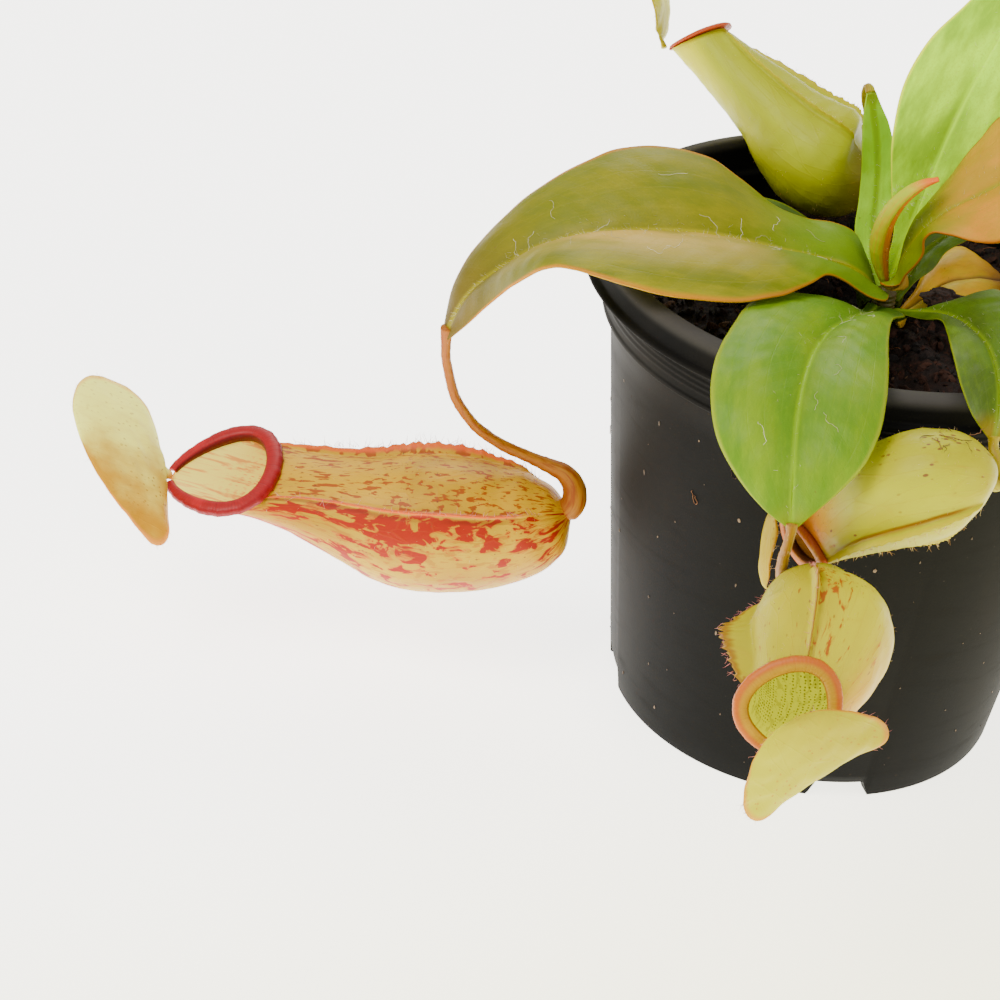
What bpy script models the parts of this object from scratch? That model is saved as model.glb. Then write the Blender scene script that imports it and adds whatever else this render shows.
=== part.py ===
"""Potted tropical pitcher plant in a round black nursery pot.

Units are metres in the finished model; the sizes below are written in millimetres and are
scaled by MM where a mesh is made. +Z is up and the origin is the middle of the pot's base.
Most of the plant is made of three kinds of surface: a leaf blade stretched between its midrib
and two edges, a pitcher lofted as rings along a bent axis up to a slanted mouth, and thin
round stalks swept along a smooth curve.
"""

import math

import bpy
import bmesh
import numpy as np
from mathutils import Vector, noise

MM = 0.001

# pot
POT_BASE_RADIUS = 37.3
POT_NECK_RADIUS = 45.9
POT_NECK_HEIGHT = 74.0
COLLAR_RADIUS = 47.9
COLLAR_LOW = 80.0
FLANGE_RADIUS = 52.5
FLANGE_HEIGHT = 88.1
LIP_OUTER_RADIUS = 50.6
LIP_INNER_RADIUS = 47.4
POT_HEIGHT = 93.4
WALL = 1.3
BASE_DISC_RADIUS = 20.0
CHANNEL_INNER = 23.0
CHANNEL_OUTER = 33.0
CHANNEL_HEIGHT = 4.2
FOOT_INNER_RADIUS = 34.2
POT_SEGMENTS = 56
NOTCH_FIRST_AZIMUTH = 8.5
NOTCH_HEIGHT = 3.5
NOTCH_WIDTH_LOW = 11.4
NOTCH_WIDTH_HIGH = 8.6
NOTCH_NEAR = 31.5
NOTCH_FAR = 41.0
DRAIN_COUNT = 8
DRAIN_RADIUS = 3.2
FLOOR_THICKNESS = 1.4
COLLAR_INNER_RADIUS = 46.2

# soil and stem
GAP = 0.35
SOIL_LEVEL = 79.0
SOIL_BUMP = 1.3
SOIL_SECTORS = 28
STEM_CENTRE = (2.0, 0.5)
STEM_RADIUS = 1.9
STEM_FOOT = 70.0
STEM_TOP = 86.6
HOLE_RADIUS = 2.4
ROOT_DISTANCE = 2.75
CLASP_DISTANCE = 3.1
CLASP_ANGLE = 22.0

# blades and cups
LEAF_THICKNESS = 0.8
CUP_WALL = 0.9
LID_THICKNESS = 0.7
SEAT = 0.3
RIM_HEIGHT = 1.5
RIM_IN = 1.2
RIM_OUT = 1.9
RIM_OPEN_ANGLE = 14.0
RIM_SECTIONS = 27
CUP_RINGS = 13
MOUTH_TAPER = 0.32
TOOTH = 0.10
WING_END = 0.98
LID_HALF_COLUMNS = 3
LID_NECK = 2.2
LID_DOME = 1.6

COLOURS = {
    "pot": (0.030, 0.029, 0.030, 0.55),
    "soil": (0.045, 0.022, 0.014, 0.95),
    "bark": (0.060, 0.028, 0.018, 0.85),
    "stem": (0.190, 0.260, 0.045, 0.50),
    "leaf_olive": (0.300, 0.330, 0.030, 0.40),
    "leaf_green": (0.210, 0.420, 0.035, 0.40),
    "leaf_lime": (0.440, 0.620, 0.160, 0.45),
    "leaf_grey": (0.190, 0.300, 0.100, 0.50),
    "leaf_bronze": (0.560, 0.340, 0.160, 0.42),
    "leaf_shoot": (0.440, 0.420, 0.060, 0.42),
    "leaf_old": (0.700, 0.360, 0.030, 0.60),
    "tendril": (0.480, 0.230, 0.035, 0.45),
    "tendril_green": (0.420, 0.420, 0.080, 0.45),
    "cup_red": (0.720, 0.360, 0.060, 0.45),
    "cup_yellow": (0.640, 0.600, 0.110, 0.45),
    "rim_red": (0.640, 0.040, 0.040, 0.30),
    "rim_orange": (0.700, 0.250, 0.050, 0.35),
    "lid": (0.800, 0.720, 0.300, 0.50),
}


def clear_scene():
    for item in list(bpy.data.objects):
        bpy.data.objects.remove(item, do_unlink=True)


def material(finish):
    found = bpy.data.materials.get(finish)
    if found:
        return found
    red, green, blue, roughness = COLOURS[finish]
    made = bpy.data.materials.new(finish)
    made.use_nodes = True
    shader = made.node_tree.nodes["Principled BSDF"]
    shader.inputs["Base Color"].default_value = (red, green, blue, 1.0)
    shader.inputs["Roughness"].default_value = roughness
    shader.inputs["Metallic"].default_value = 0.0
    return made


def add_object(name, mesh, finish, smooth=True):
    made = bpy.data.objects.new(name, mesh)
    bpy.context.scene.collection.objects.link(made)
    mesh.materials.append(material(finish))
    if smooth:
        mesh.shade_smooth()
    return made


def mesh_from(name, points, faces):
    """A mesh from points in millimetres, with its normals turned outward."""
    mesh = bpy.data.meshes.new(name)
    mesh.from_pydata([tuple(point) for point in np.asarray(points) * MM], [], faces)
    work = bmesh.new()
    work.from_mesh(mesh)
    bmesh.ops.recalc_face_normals(work, faces=work.faces)
    work.to_mesh(mesh)
    work.free()
    return mesh


def smooth_curve(points, count=None, stations=None):
    """Read a Catmull-Rom curve through the points at even steps of its length.

    The first three columns are x, y and z; further columns, such as a radius, follow along.
    """
    given = np.array(points, float)
    steps = np.linalg.norm(np.diff(given[:, :3], axis=0), axis=1)
    knots = np.concatenate([[0.0], np.cumsum(steps)])
    slopes = np.gradient(given, knots, axis=0)
    fine = np.linspace(0.0, knots[-1], 24 * len(given))
    span = np.clip(np.searchsorted(knots, fine, side="right") - 1, 0, len(given) - 2)
    width = (knots[span + 1] - knots[span])[:, None]
    part = ((fine - knots[span])[:, None]) / width
    first = given[span]
    second = given[span + 1]
    rise = slopes[span] * width
    fall = slopes[span + 1] * width
    curve = ((2 * part**3 - 3 * part**2 + 1) * first + (part**3 - 2 * part**2 + part) * rise
             + (3 * part**2 - 2 * part**3) * second + (part**3 - part**2) * fall)
    lengths = np.concatenate([[0.0], np.cumsum(
        np.linalg.norm(np.diff(curve[:, :3], axis=0), axis=1))])
    wanted = np.linspace(0.0, 1.0, count) if stations is None else np.asarray(stations)
    return np.stack([np.interp(wanted * lengths[-1], lengths, column)
                     for column in curve.T], axis=1)


def unit(vectors):
    vectors = np.asarray(vectors, float)
    return vectors / np.linalg.norm(vectors, axis=-1, keepdims=True)


def stitch(first, second):
    """Quads between two closed rows of point numbers."""
    count = len(first)
    return [(first[i], first[(i + 1) % count], second[(i + 1) % count], second[i])
            for i in range(count)]


# Pot

def pot_inner_radius(height):
    """Radius of the inside of the pot's wall at a height."""
    if height >= COLLAR_LOW:
        return COLLAR_INNER_RADIUS
    if height >= POT_NECK_HEIGHT:
        share = (height - POT_NECK_HEIGHT) / (COLLAR_LOW - POT_NECK_HEIGHT)
        low = POT_NECK_RADIUS - WALL
        return low + share * (COLLAR_INNER_RADIUS - low)
    slope = (POT_NECK_RADIUS - POT_BASE_RADIUS) / POT_NECK_HEIGHT
    return POT_BASE_RADIUS + slope * height - WALL


def build_pot():
    floor = CHANNEL_HEIGHT + FLOOR_THICKNESS
    profile = [
        (0.0, 0.0), (BASE_DISC_RADIUS, 0.0), (CHANNEL_INNER, CHANNEL_HEIGHT),
        (CHANNEL_OUTER, CHANNEL_HEIGHT), (FOOT_INNER_RADIUS, 0.0), (POT_BASE_RADIUS, 0.0),
        (POT_NECK_RADIUS, POT_NECK_HEIGHT), (COLLAR_RADIUS, COLLAR_LOW),
        (COLLAR_RADIUS, FLANGE_HEIGHT), (48.3, 91.7), (50.0, 91.4), (51.5, FLANGE_HEIGHT),
        (FLANGE_RADIUS, FLANGE_HEIGHT), (FLANGE_RADIUS - 0.1, 88.7), (51.2, 89.1),
        (LIP_OUTER_RADIUS, 92.7), (LIP_OUTER_RADIUS - 0.6, 93.15),
        (LIP_INNER_RADIUS + 0.3, POT_HEIGHT), (LIP_INNER_RADIUS, POT_HEIGHT - 0.3),
        (COLLAR_INNER_RADIUS + 0.9, 87.0), (COLLAR_INNER_RADIUS, 86.4),
        (COLLAR_INNER_RADIUS, COLLAR_LOW),
        (POT_NECK_RADIUS - WALL, POT_NECK_HEIGHT), (pot_inner_radius(floor + 1.2), floor + 1.2),
        (CHANNEL_OUTER + 1.2, floor), (CHANNEL_INNER - 0.6, floor),
        (BASE_DISC_RADIUS - 1.0, FLOOR_THICKNESS), (0.0, FLOOR_THICKNESS),
    ]
    work = bmesh.new()
    corners = [work.verts.new((radius * MM, 0.0, height * MM)) for radius, height in profile]
    edges = [work.edges.new(pair) for pair in zip(corners[:-1], corners[1:])]
    bmesh.ops.spin(work, geom=corners + edges, cent=(0, 0, 0), axis=(0, 0, 1),
                   angle=2 * math.pi, steps=POT_SEGMENTS, use_merge=True)
    bmesh.ops.remove_doubles(work, verts=work.verts, dist=0.00001)
    bmesh.ops.recalc_face_normals(work, faces=work.faces)
    mesh = bpy.data.meshes.new("pot")
    work.to_mesh(mesh)
    work.free()
    pot = add_object("pot", mesh, "pot")
    mesh.set_sharp_from_angle(angle=math.radians(35))
    for number in range(4):
        cut(pot, notch_cutter(math.radians(NOTCH_FIRST_AZIMUTH + 90 * number)))
    for number in range(DRAIN_COUNT):
        turn = 2 * math.pi * (number + 0.5) / DRAIN_COUNT
        cut(pot, drain_cutter(turn))
    return pot


def notch_cutter(azimuth):
    """A block with slanted sides that opens the foot of the pot."""
    slant = (NOTCH_WIDTH_LOW - NOTCH_WIDTH_HIGH) / 2 / NOTCH_HEIGHT
    low = NOTCH_WIDTH_LOW / 2 + slant
    high = NOTCH_WIDTH_HIGH / 2
    points = []
    for radius in (NOTCH_NEAR, NOTCH_FAR):
        points += [(radius, -low, -1.0), (radius, low, -1.0),
                   (radius, high, NOTCH_HEIGHT), (radius, -high, NOTCH_HEIGHT)]
    faces = [(3, 2, 1, 0), (4, 5, 6, 7), (0, 1, 5, 4), (1, 2, 6, 5), (2, 3, 7, 6), (3, 0, 4, 7)]
    cutter = bpy.data.objects.new("notch_cutter", mesh_from("notch_cutter", points, faces))
    cutter.rotation_euler.z = azimuth
    return hide_cutter(cutter)


def drain_cutter(azimuth):
    """An upright rod through the raised ring of the floor."""
    work = bmesh.new()
    bmesh.ops.create_cone(work, cap_ends=True, segments=10, radius1=DRAIN_RADIUS * MM,
                          radius2=DRAIN_RADIUS * MM, depth=12 * MM)
    mesh = bpy.data.meshes.new("drain_cutter")
    work.to_mesh(mesh)
    work.free()
    cutter = bpy.data.objects.new("drain_cutter", mesh)
    middle = (CHANNEL_INNER + CHANNEL_OUTER) / 2
    cutter.location = (middle * MM * math.cos(azimuth), middle * MM * math.sin(azimuth),
                       CHANNEL_HEIGHT * MM)
    return hide_cutter(cutter)


def hide_cutter(cutter):
    bpy.context.scene.collection.objects.link(cutter)
    cutter.hide_render = True
    cutter.display_type = "WIRE"
    return cutter


def cut(target, cutter):
    step = target.modifiers.new(cutter.name, "BOOLEAN")
    step.operation = "DIFFERENCE"
    step.solver = "EXACT"
    step.object = cutter


# Soil and stem

def soil_height(x, y):
    """Height of the crumbly soil top, a little higher round the stem."""
    rough = noise.fractal(Vector((x * 0.11, y * 0.11, 3.7)), 0.9, 2.1, 4)
    from_stem = math.hypot(x - STEM_CENTRE[0], y - STEM_CENTRE[1])
    return SOIL_LEVEL + SOIL_BUMP * rough + 0.8 * math.exp(-(from_stem / 14.0) ** 2)


def build_soil():
    floor = CHANNEL_HEIGHT + FLOOR_THICKNESS + GAP
    turns = np.arange(SOIL_SECTORS) * 2 * math.pi / SOIL_SECTORS
    centre = np.array([*STEM_CENTRE, 0.0])
    compass = np.stack([np.cos(turns), np.sin(turns), np.zeros(SOIL_SECTORS)], axis=1)
    rows = []
    hole_floor = STEM_FOOT - 0.25 * STEM_RADIUS - GAP
    rows.append(centre + compass * HOLE_RADIUS + (0, 0, hole_floor))
    wall_radius = pot_inner_radius(SOIL_LEVEL) - 2 * GAP
    for share in (0.0, 0.12, 0.28, 0.46, 0.64, 0.82, 1.0):
        row = (1 - share) * (centre + compass * HOLE_RADIUS) + share * compass * wall_radius
        if share == 1.0:
            row[:, 2] = SOIL_LEVEL - 0.6
        else:
            row[:, 2] = [soil_height(x, y) for x, y in row[:, :2]]
        rows.append(row)
    for height in (POT_NECK_HEIGHT, floor + 1.4):
        rows.append(compass * (pot_inner_radius(height) - 2 * GAP) + (0, 0, height))
    rows.append(compass * CHANNEL_OUTER + (0, 0, floor))
    rows.append(compass * (CHANNEL_INNER - 1.2) + (0, 0, floor))
    lowest = FLOOR_THICKNESS + GAP
    rows.append(compass * (BASE_DISC_RADIUS - 1.6) + (0, 0, lowest))
    points = np.concatenate(rows + [[centre + (0, 0, hole_floor)], [(0, 0, lowest)]])
    count = SOIL_SECTORS
    number = np.arange(len(rows) * count).reshape(len(rows), count).tolist()
    faces = []
    for first, second in zip(number[:-1], number[1:]):
        faces += stitch(first, second)
    top_pole = len(rows) * count
    faces += [(number[0][(i + 1) % count], number[0][i], top_pole) for i in range(count)]
    faces += [(number[-1][i], number[-1][(i + 1) % count], top_pole + 1) for i in range(count)]
    return add_object("soil", mesh_from("soil", points, faces), "soil")


def build_stem():
    """Short upright stem, knobbly where old leaves came off."""
    heights = [STEM_FOOT, 76.0, 79.5, 80.6, 82.0, 83.2, 84.6, STEM_TOP - 0.5, STEM_TOP]
    swell = [0.95, 0.95, 1.0, 1.1, 1.0, 1.08, 0.95, 0.85, 0.5]
    path = [(STEM_CENTRE[0], STEM_CENTRE[1], height) for height in heights]
    radii = [STEM_RADIUS * share for share in swell]
    return tube("stem", path, radii, "stem", sides=9)


def tube(name, path, radii, finish, sides=8, flatten=1.0):
    """Rings of a round or oval section carried along a path, closed by a point at each end."""
    path = np.asarray(path, float)
    tangents = unit(np.gradient(path, axis=0))
    hint = (0.0, 1.0, 0.0) if abs(tangents[-1][1]) < 0.9 else (1.0, 0.0, 0.0)
    across = transported(tangents, hint)
    lifted = np.cross(tangents, across)
    turns = np.arange(sides) * 2 * math.pi / sides
    points = []
    for centre, side, up, radius in zip(path, across, lifted, radii):
        points += [centre + radius * (math.cos(turn) * side + flatten * math.sin(turn) * up)
                   for turn in turns]
    points += [path[0] - 0.25 * radii[0] * tangents[0], path[-1] + 0.25 * radii[-1] * tangents[-1]]
    number = np.arange(len(path) * sides).reshape(len(path), sides).tolist()
    faces = []
    for first, second in zip(number[:-1], number[1:]):
        faces += stitch(first, second)
    low = len(path) * sides
    faces += [(number[0][(i + 1) % sides], number[0][i], low) for i in range(sides)]
    faces += [(number[-1][i], number[-1][(i + 1) % sides], low + 1) for i in range(sides)]
    return add_object(name, mesh_from(name, points, faces), finish)


def transported(tangents, hint):
    """Side vectors that turn no more than the path does, set by the hint at its far end."""
    sides = np.zeros_like(tangents)
    side = np.asarray(hint, float)
    for i in range(len(tangents) - 1, -1, -1):
        side = unit(side - side.dot(tangents[i]) * tangents[i])
        sides[i] = side
    return sides


# Leaves

def leaf(name, finish, azimuth, height, midrib, left, right, along=13, across=3, wave=0.6,
         waves=3.0, bulge=0.09, keel=0.5, clasp=CLASP_ANGLE):
    """A blade between its midrib and two edges.

    Each half is a straight line from midrib to edge, bulged upward by a parabola, and the edge
    is waved by a sine along its length. The midrib starts beside the stem at the azimuth, and
    the two edges start the clasp angle to either side of it.
    """
    turn = math.radians(azimuth)
    outward = np.array([math.cos(turn), math.sin(turn), 0.0])
    aside = np.array([-math.sin(turn), math.cos(turn), 0.0])
    centre = np.array([*STEM_CENTRE, height])
    middle = smooth_curve([centre + ROOT_DISTANCE * outward] + list(midrib), along + 1)
    side_sign = 1.0 if np.dot(np.asarray(left[0]) - np.asarray(right[0]), aside) >= 0 else -1.0
    near = CLASP_DISTANCE * math.cos(math.radians(clasp)) * outward
    shift = side_sign * CLASP_DISTANCE * math.sin(math.radians(clasp)) * aside
    left_edge = smooth_curve([centre + near + shift] + list(left), along + 1)
    right_edge = smooth_curve([centre + near - shift] + list(right), along + 1)
    direction = unit(np.gradient(middle, axis=0))
    normal = unit(np.cross(direction, right_edge - left_edge))
    if normal[along // 2, 2] < 0:
        normal = -normal
    stations = np.linspace(0.0, 1.0, along + 1)
    fade = np.sin(math.pi * np.clip(stations * 1.02, 0.0, 1.0)) ** 0.7
    columns = []
    for position in np.linspace(-1.0, 1.0, 2 * across + 1):
        edge = left_edge if position < 0 else right_edge
        share = abs(position)
        line = middle + share * (edge - middle)
        width = np.linalg.norm(edge - middle, axis=1)
        lift = bulge * width * 4 * share * (1 - share) - keel * (1 - share) ** 4 * fade
        phase = 1.1 if position < 0 else 2.9
        ripple = np.sin(2 * math.pi * waves * stations + phase)
        lift = lift + wave * np.minimum(1.0, width / 5.0) * share**2 * fade * ripple
        columns.append(line + lift[:, None] * normal)
    grid = np.stack(columns, axis=1)
    rows, width = grid.shape[:2]
    number = np.arange(rows * width).reshape(rows, width)
    faces = []
    for i in range(rows - 1):
        for j in range(width - 1):
            a, b = number[i, j], number[i, j + 1]
            d, c = number[i + 1, j], number[i + 1, j + 1]
            faces += [(a, b, c), (a, c, d)] if j < width // 2 else [(a, b, d), (b, c, d)]
    return blade_object(name, grid, faces, finish, LEAF_THICKNESS)


def blade_object(name, grid, faces, finish, thickness):
    mesh = bpy.data.meshes.new(name)
    mesh.from_pydata([tuple(point) for point in grid.reshape(-1, 3) * MM], [],
                     [[int(corner) for corner in face] for face in faces])
    blade = add_object(name, mesh, finish)
    thicken(blade, thickness)
    return blade


def thicken(blade, thickness):
    wall = blade.modifiers.new("thickness", "SOLIDIFY")
    wall.thickness = thickness * MM
    wall.offset = 0.0
    wall.use_even_offset = False
    wall.use_rim = True


def build_leaves():
    leaf("leaf_left", "leaf_olive", 205, 86.4,
         midrib=[(-2.3, -2.0, 89.0), (-5.6, -3.6, 91.6), (-9.6, -5.0, 93.3), (-17.2, -9.0, 96.3),
                 (-26.2, -11.0, 98.5), (-35.0, -12.0, 99.5), (-43.5, -12.0, 98.8), (-51.9, -12.0, 97.0),
                 (-60.2, -12.0, 93.5), (-66.6, -12.0, 88.2), (-72.2, -12.0, 81.2), (-74.9, -12.0, 73.6)],
         left=[(1.6, -4.7, 86.3), (-1.2, -6.1, 87.2), (-3.9, -7.4, 89.0), (-6.9, -9.4, 91.7),
               (-10.1, -12.6, 94.5), (-13.6, -19.0, 95.8), (-19.5, -27.0, 96.5), (-26.4, -31.0, 96.6),
               (-33.1, -32.0, 97.1), (-41.5, -32.0, 97.7), (-49.8, -30.0, 98.0), (-56.5, -27.0, 97.3),
               (-62.7, -23.3, 92.3), (-67.3, -18.4, 85.1), (-71.6, -14.8, 77.5), (-74.3, -12.7, 73.3)],
         right=[(-2.4, 2.9, 91.0), (-5.0, 4.6, 94.6), (-8.6, 5.6, 95.4), (-13.4, 6.0, 95.2),
                (-20.3, 6.0, 97.2), (-26.3, 6.0, 101.4), (-32.2, 6.0, 105.2), (-39.3, 6.0, 106.4),
                (-47.9, 5.0, 105.2), (-56.0, 3.0, 101.2), (-64.0, 0.0, 96.0), (-70.3, -4.0, 89.5),
                (-74.2, -8.0, 82.5), (-75.5, -11.2, 73.9)],
         along=19, wave=0.4, clasp=68)
    leaf("leaf_front", "leaf_green", -115, 83.4,
         midrib=[(-0.5, -5.6, 84.0), (-2.2, -10.6, 86.4), (-4.3, -17.0, 89.5), (-11.8, -34.0, 94.4),
                 (-15.2, -46.0, 95.6), (-17.4, -60.0, 92.6), (-17.4, -66.5, 87.4), (-16.4, -69.0, 78.5)],
         left=[(-3.0, -6.4, 84.6), (-6.8, -9.4, 86.8), (-11.4, -13.0, 89.8), (-18.0, -18.0, 92.4),
               (-23.5, -26.0, 94.4), (-28.0, -39.0, 96.2), (-30.8, -51.0, 94.8), (-31.0, -57.5, 93.0),
               (-29.4, -63.0, 89.2), (-25.4, -67.0, 84.8), (-20.9, -69.0, 81.1), (-16.9, -69.2, 78.4)],
         right=[(3.8, -7.0, 85.8), (4.4, -10.6, 86.8), (2.9, -14.6, 88.6), (0.9, -21.0, 91.4),
                (-1.9, -37.0, 95.9), (-2.9, -49.0, 96.1), (-3.7, -57.0, 95.9), (-5.0, -64.0, 93.3),
                (-6.9, -67.5, 90.1), (-10.0, -69.0, 86.1), (-13.3, -69.5, 82.0), (-15.8, -69.2, 78.3)],
         along=16, wave=0.3, clasp=40)
    leaf("leaf_right", "leaf_green", -50, 83.0,
         midrib=[(10.1, -15.0, 90.6), (13.2, -29.0, 95.4), (14.6, -41.0, 97.2), (15.0, -50.0, 95.3),
                 (14.8, -54.0, 92.6), (14.5, -56.0, 90.4)],
         left=[(7.4, -12.0, 87.4), (8.9, -20.0, 91.6), (8.6, -29.0, 94.6), (8.1, -42.0, 96.7),
               (9.2, -49.0, 95.2), (11.1, -53.6, 92.8), (13.8, -56.0, 90.5)],
         right=[(7.4, -4.4, 84.6), (11.2, -6.2, 86.4), (14.8, -9.6, 91.0), (18.0, -15.0, 96.0),
                (20.8, -23.0, 98.6), (22.6, -34.0, 99.4), (22.4, -45.0, 98.1), (19.1, -52.0, 94.4),
                (15.3, -56.0, 90.6)],
         along=13, wave=0.4)
    leaf("leaf_tall", "leaf_lime", 70, 86.4,
         midrib=[(4.9, 5.5, 95.0), (6.6, 7.5, 103.4), (9.1, 9.0, 114.4), (12.9, 10.6, 127.1),
                 (16.8, 11.5, 138.2), (21.3, 12.2, 149.0), (25.9, 12.2, 158.3), (28.1, 12.0, 163.0)],
         left=[(2.4, 6.5, 94.5), (0.8, 9.0, 101.7), (-0.6, 10.5, 112.3), (0.1, 12.3, 121.0),
               (3.0, 13.3, 128.4), (7.9, 14.0, 135.0), (15.2, 14.0, 145.8), (22.3, 13.0, 155.8),
               (27.5, 12.4, 162.8)],
         right=[(8.0, 5.6, 95.2), (12.3, 6.0, 103.2), (19.2, 6.2, 113.2), (25.7, 6.8, 123.9),
                (30.5, 7.6, 134.2), (33.5, 9.2, 144.5), (33.3, 11.0, 154.3), (28.8, 12.0, 162.6)],
         along=15, wave=0.5, clasp=32)
    leaf("leaf_back", "leaf_grey", 112, 84.6,
         midrib=[(-0.1, 8.4, 86.8), (-0.5, 13.0, 92.7), (-0.8, 15.0, 98.2), (-1.5, 16.0, 103.6),
                 (-2.8, 16.0, 109.3), (-4.1, 15.6, 113.4), (-5.0, 14.8, 117.0)],
         left=[(-2.4, 8.4, 86.6), (-3.8, 12.5, 91.4), (-3.7, 15.0, 95.8), (-4.0, 16.5, 101.1),
               (-4.9, 16.3, 106.9), (-5.6, 15.6, 112.5), (-5.8, 14.6, 116.6)],
         right=[(2.1, 9.8, 88.2), (2.8, 14.0, 94.1), (2.2, 16.0, 100.0), (1.2, 17.0, 105.3),
                (-0.7, 16.8, 110.6), (-2.8, 15.8, 114.2), (-4.2, 15.0, 116.8)],
         along=10, across=2, wave=0.2, bulge=-0.08)
    leaf("leaf_bronze", "leaf_bronze", -60, 88.4,
         midrib=[(3.2, -2.0, 91.2), (3.8, -2.1, 94.6), (5.5, -3.0, 99.7), (8.3, -3.5, 103.6),
                 (12.2, -4.0, 107.0), (16.9, -5.0, 111.2), (22.6, -6.0, 115.7), (28.9, -6.0, 118.0),
                 (34.2, -6.0, 118.6)],
         left=[(5.0, 2.2, 91.0), (4.7, 3.2, 94.8), (5.5, 3.8, 99.5), (7.7, 4.2, 103.3),
               (10.0, 4.6, 106.9), (13.4, 5.6, 113.0), (16.7, 6.2, 119.0), (22.2, 5.6, 122.8),
               (27.6, 2.2, 122.2), (31.0, -1.8, 120.9), (33.0, -4.2, 119.5)],
         right=[(1.6, -3.5, 88.6), (3.2, -4.2, 89.4), (3.9, -5.2, 92.0), (5.0, -6.4, 94.8),
                (6.0, -7.2, 97.7), (5.8, -7.8, 100.4), (6.8, -8.6, 102.2), (9.2, -10.2, 103.0),
                (12.7, -13.0, 103.9), (16.8, -17.0, 106.3), (22.5, -17.6, 109.6), (27.6, -14.6, 112.6),
                (31.0, -10.8, 115.4), (33.0, -7.8, 117.5)],
         along=15, wave=0.4, waves=2.5, keel=0.2, clasp=62)
    leaf("leaf_small", "leaf_green", 150, 82.3,
         midrib=[(-4.5, 6.4, 86.4), (-9.4, 9.0, 88.3), (-15.3, 11.0, 89.3), (-22.6, 13.0, 89.4),
                 (-29.9, 15.0, 89.5)],
         left=[(-5.2, 3.6, 85.4), (-9.9, 4.2, 86.5), (-15.9, 6.0, 86.3), (-22.2, 9.0, 86.4),
               (-29.7, 14.2, 89.0)],
         right=[(-5.0, 8.8, 87.4), (-9.2, 12.0, 90.7), (-12.9, 13.6, 92.0), (-16.7, 15.4, 93.0),
                (-20.4, 16.2, 93.7), (-25.8, 16.4, 93.4), (-30.1, 15.8, 90.4)],
         along=9, across=2, wave=0.3)
    leaf("leaf_low", "leaf_green", 45, 83.0,
         midrib=[(6.6, 5.5, 86.7), (8.7, 9.5, 89.0), (12.3, 13.5, 90.8), (17.1, 17.0, 92.1),
                 (21.6, 20.0, 93.2)],
         left=[(5.1, 7.0, 88.2), (7.0, 11.5, 90.8), (11.1, 16.0, 92.7), (16.0, 19.6, 93.4),
               (21.1, 21.4, 93.4)],
         right=[(7.4, 3.9, 86.1), (10.5, 7.0, 87.4), (12.9, 10.5, 89.4), (17.2, 13.8, 91.1),
                (21.9, 18.2, 93.0)],
         along=9, across=2, wave=0.3)
    leaf("leaf_old", "leaf_old", -8, 80.6,
         midrib=[(9.6, 4.8, 82.2), (14.0, 10.4, 83.2), (19.1, 12.8, 83.6), (25.2, 14.6, 82.6)],
         left=[(8.6, 8.6, 82.3), (11.6, 16.8, 83.0), (14.7, 22.3, 83.6), (18.0, 23.8, 83.8),
               (21.8, 21.4, 83.2), (25.2, 16.4, 82.6)],
         right=[(8.6, 0.9, 81.8), (12.2, -0.2, 81.9), (17.3, 4.2, 82.2), (21.9, 8.6, 82.4),
                (25.4, 13.0, 82.5)],
         along=10, across=2, wave=0.4, bulge=0.20, keel=0.2)


def build_shoot():
    """The youngest leaf, still rolled into a pointed oval tube."""
    path = smooth_curve([(1.5, 0.5, 87.6), (0.2, 0.2, 91.0), (-0.9, -1.0, 96.6), (-0.4, -2.0, 101.6),
                         (1.6, -2.5, 105.8), (4.3, -3.0, 108.7), (6.6, -3.2, 110.0)], 11)
    radii = [1.1, 1.7, 2.2, 2.5, 2.5, 2.3, 2.1, 1.8, 1.5, 1.1, 0.7]
    return tube("leaf_shoot", path, radii, "leaf_shoot", sides=8, flatten=0.72)


def build_tendrils():
    """Thin stalks from the leaf tips to the pitchers, a little thicker where they arrive."""
    routes = {
        "tendril_left": ([(-74.8, -11.7, 72.7), (-74.7, -11.0, 69.6), (-74.0, -9.0, 64.9),
                          (-72.0, -6.0, 57.1), (-68.3, -4.0, 51.0), (-63.3, -2.0, 46.4),
                          (-57.6, -1.2, 43.7), (-53.4, -1.4, 42.3), (-50.6, -2.0, 41.4),
                          (-49.0, -3.0, 40.0), (-48.4, -4.0, 38.4), (-48.5, -4.6, 37.2)],
                         0.85, 1.35, "tendril", 17),
        "tendril_front": ([(-16.3, -69.0, 77.0), (-16.4, -68.6, 75.0), (-16.4, -66.6, 70.9),
                           (-15.9, -64.0, 66.5), (-14.6, -61.8, 62.6), (-12.6, -60.6, 60.8),
                           (-11.0, -60.4, 62.0), (-10.5, -60.8, 64.4)],
                          0.85, 1.3, "tendril", 13),
        "tendril_right": ([(14.6, -56.3, 89.45), (15.2, -57.7, 88.5), (15.9, -59.0, 87.0),
                           (16.0, -60.3, 85.7), (15.0, -61.2, 85.4)],
                          0.8, 1.1, "tendril_green", 8),
        "tendril_back": ([(-5.4, 16.0, 117.3), (-5.7, 17.3, 116.6), (-5.3, 19.4, 113.6),
                          (-3.6, 22.6, 109.2), (-1.0, 25.6, 103.9), (1.8, 27.8, 99.9),
                          (2.9, 28.4, 97.6), (2.3, 28.1, 96.9)],
                         0.8, 1.2, "tendril_green", 13),
    }
    for name, (route, thin, thick, finish, count) in routes.items():
        path = smooth_curve(route, count)
        radii = thin + (thick - thin) * np.linspace(0.0, 1.0, count) ** 1.5
        tube(name, path, radii, finish, sides=7)


# Pitchers

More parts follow.
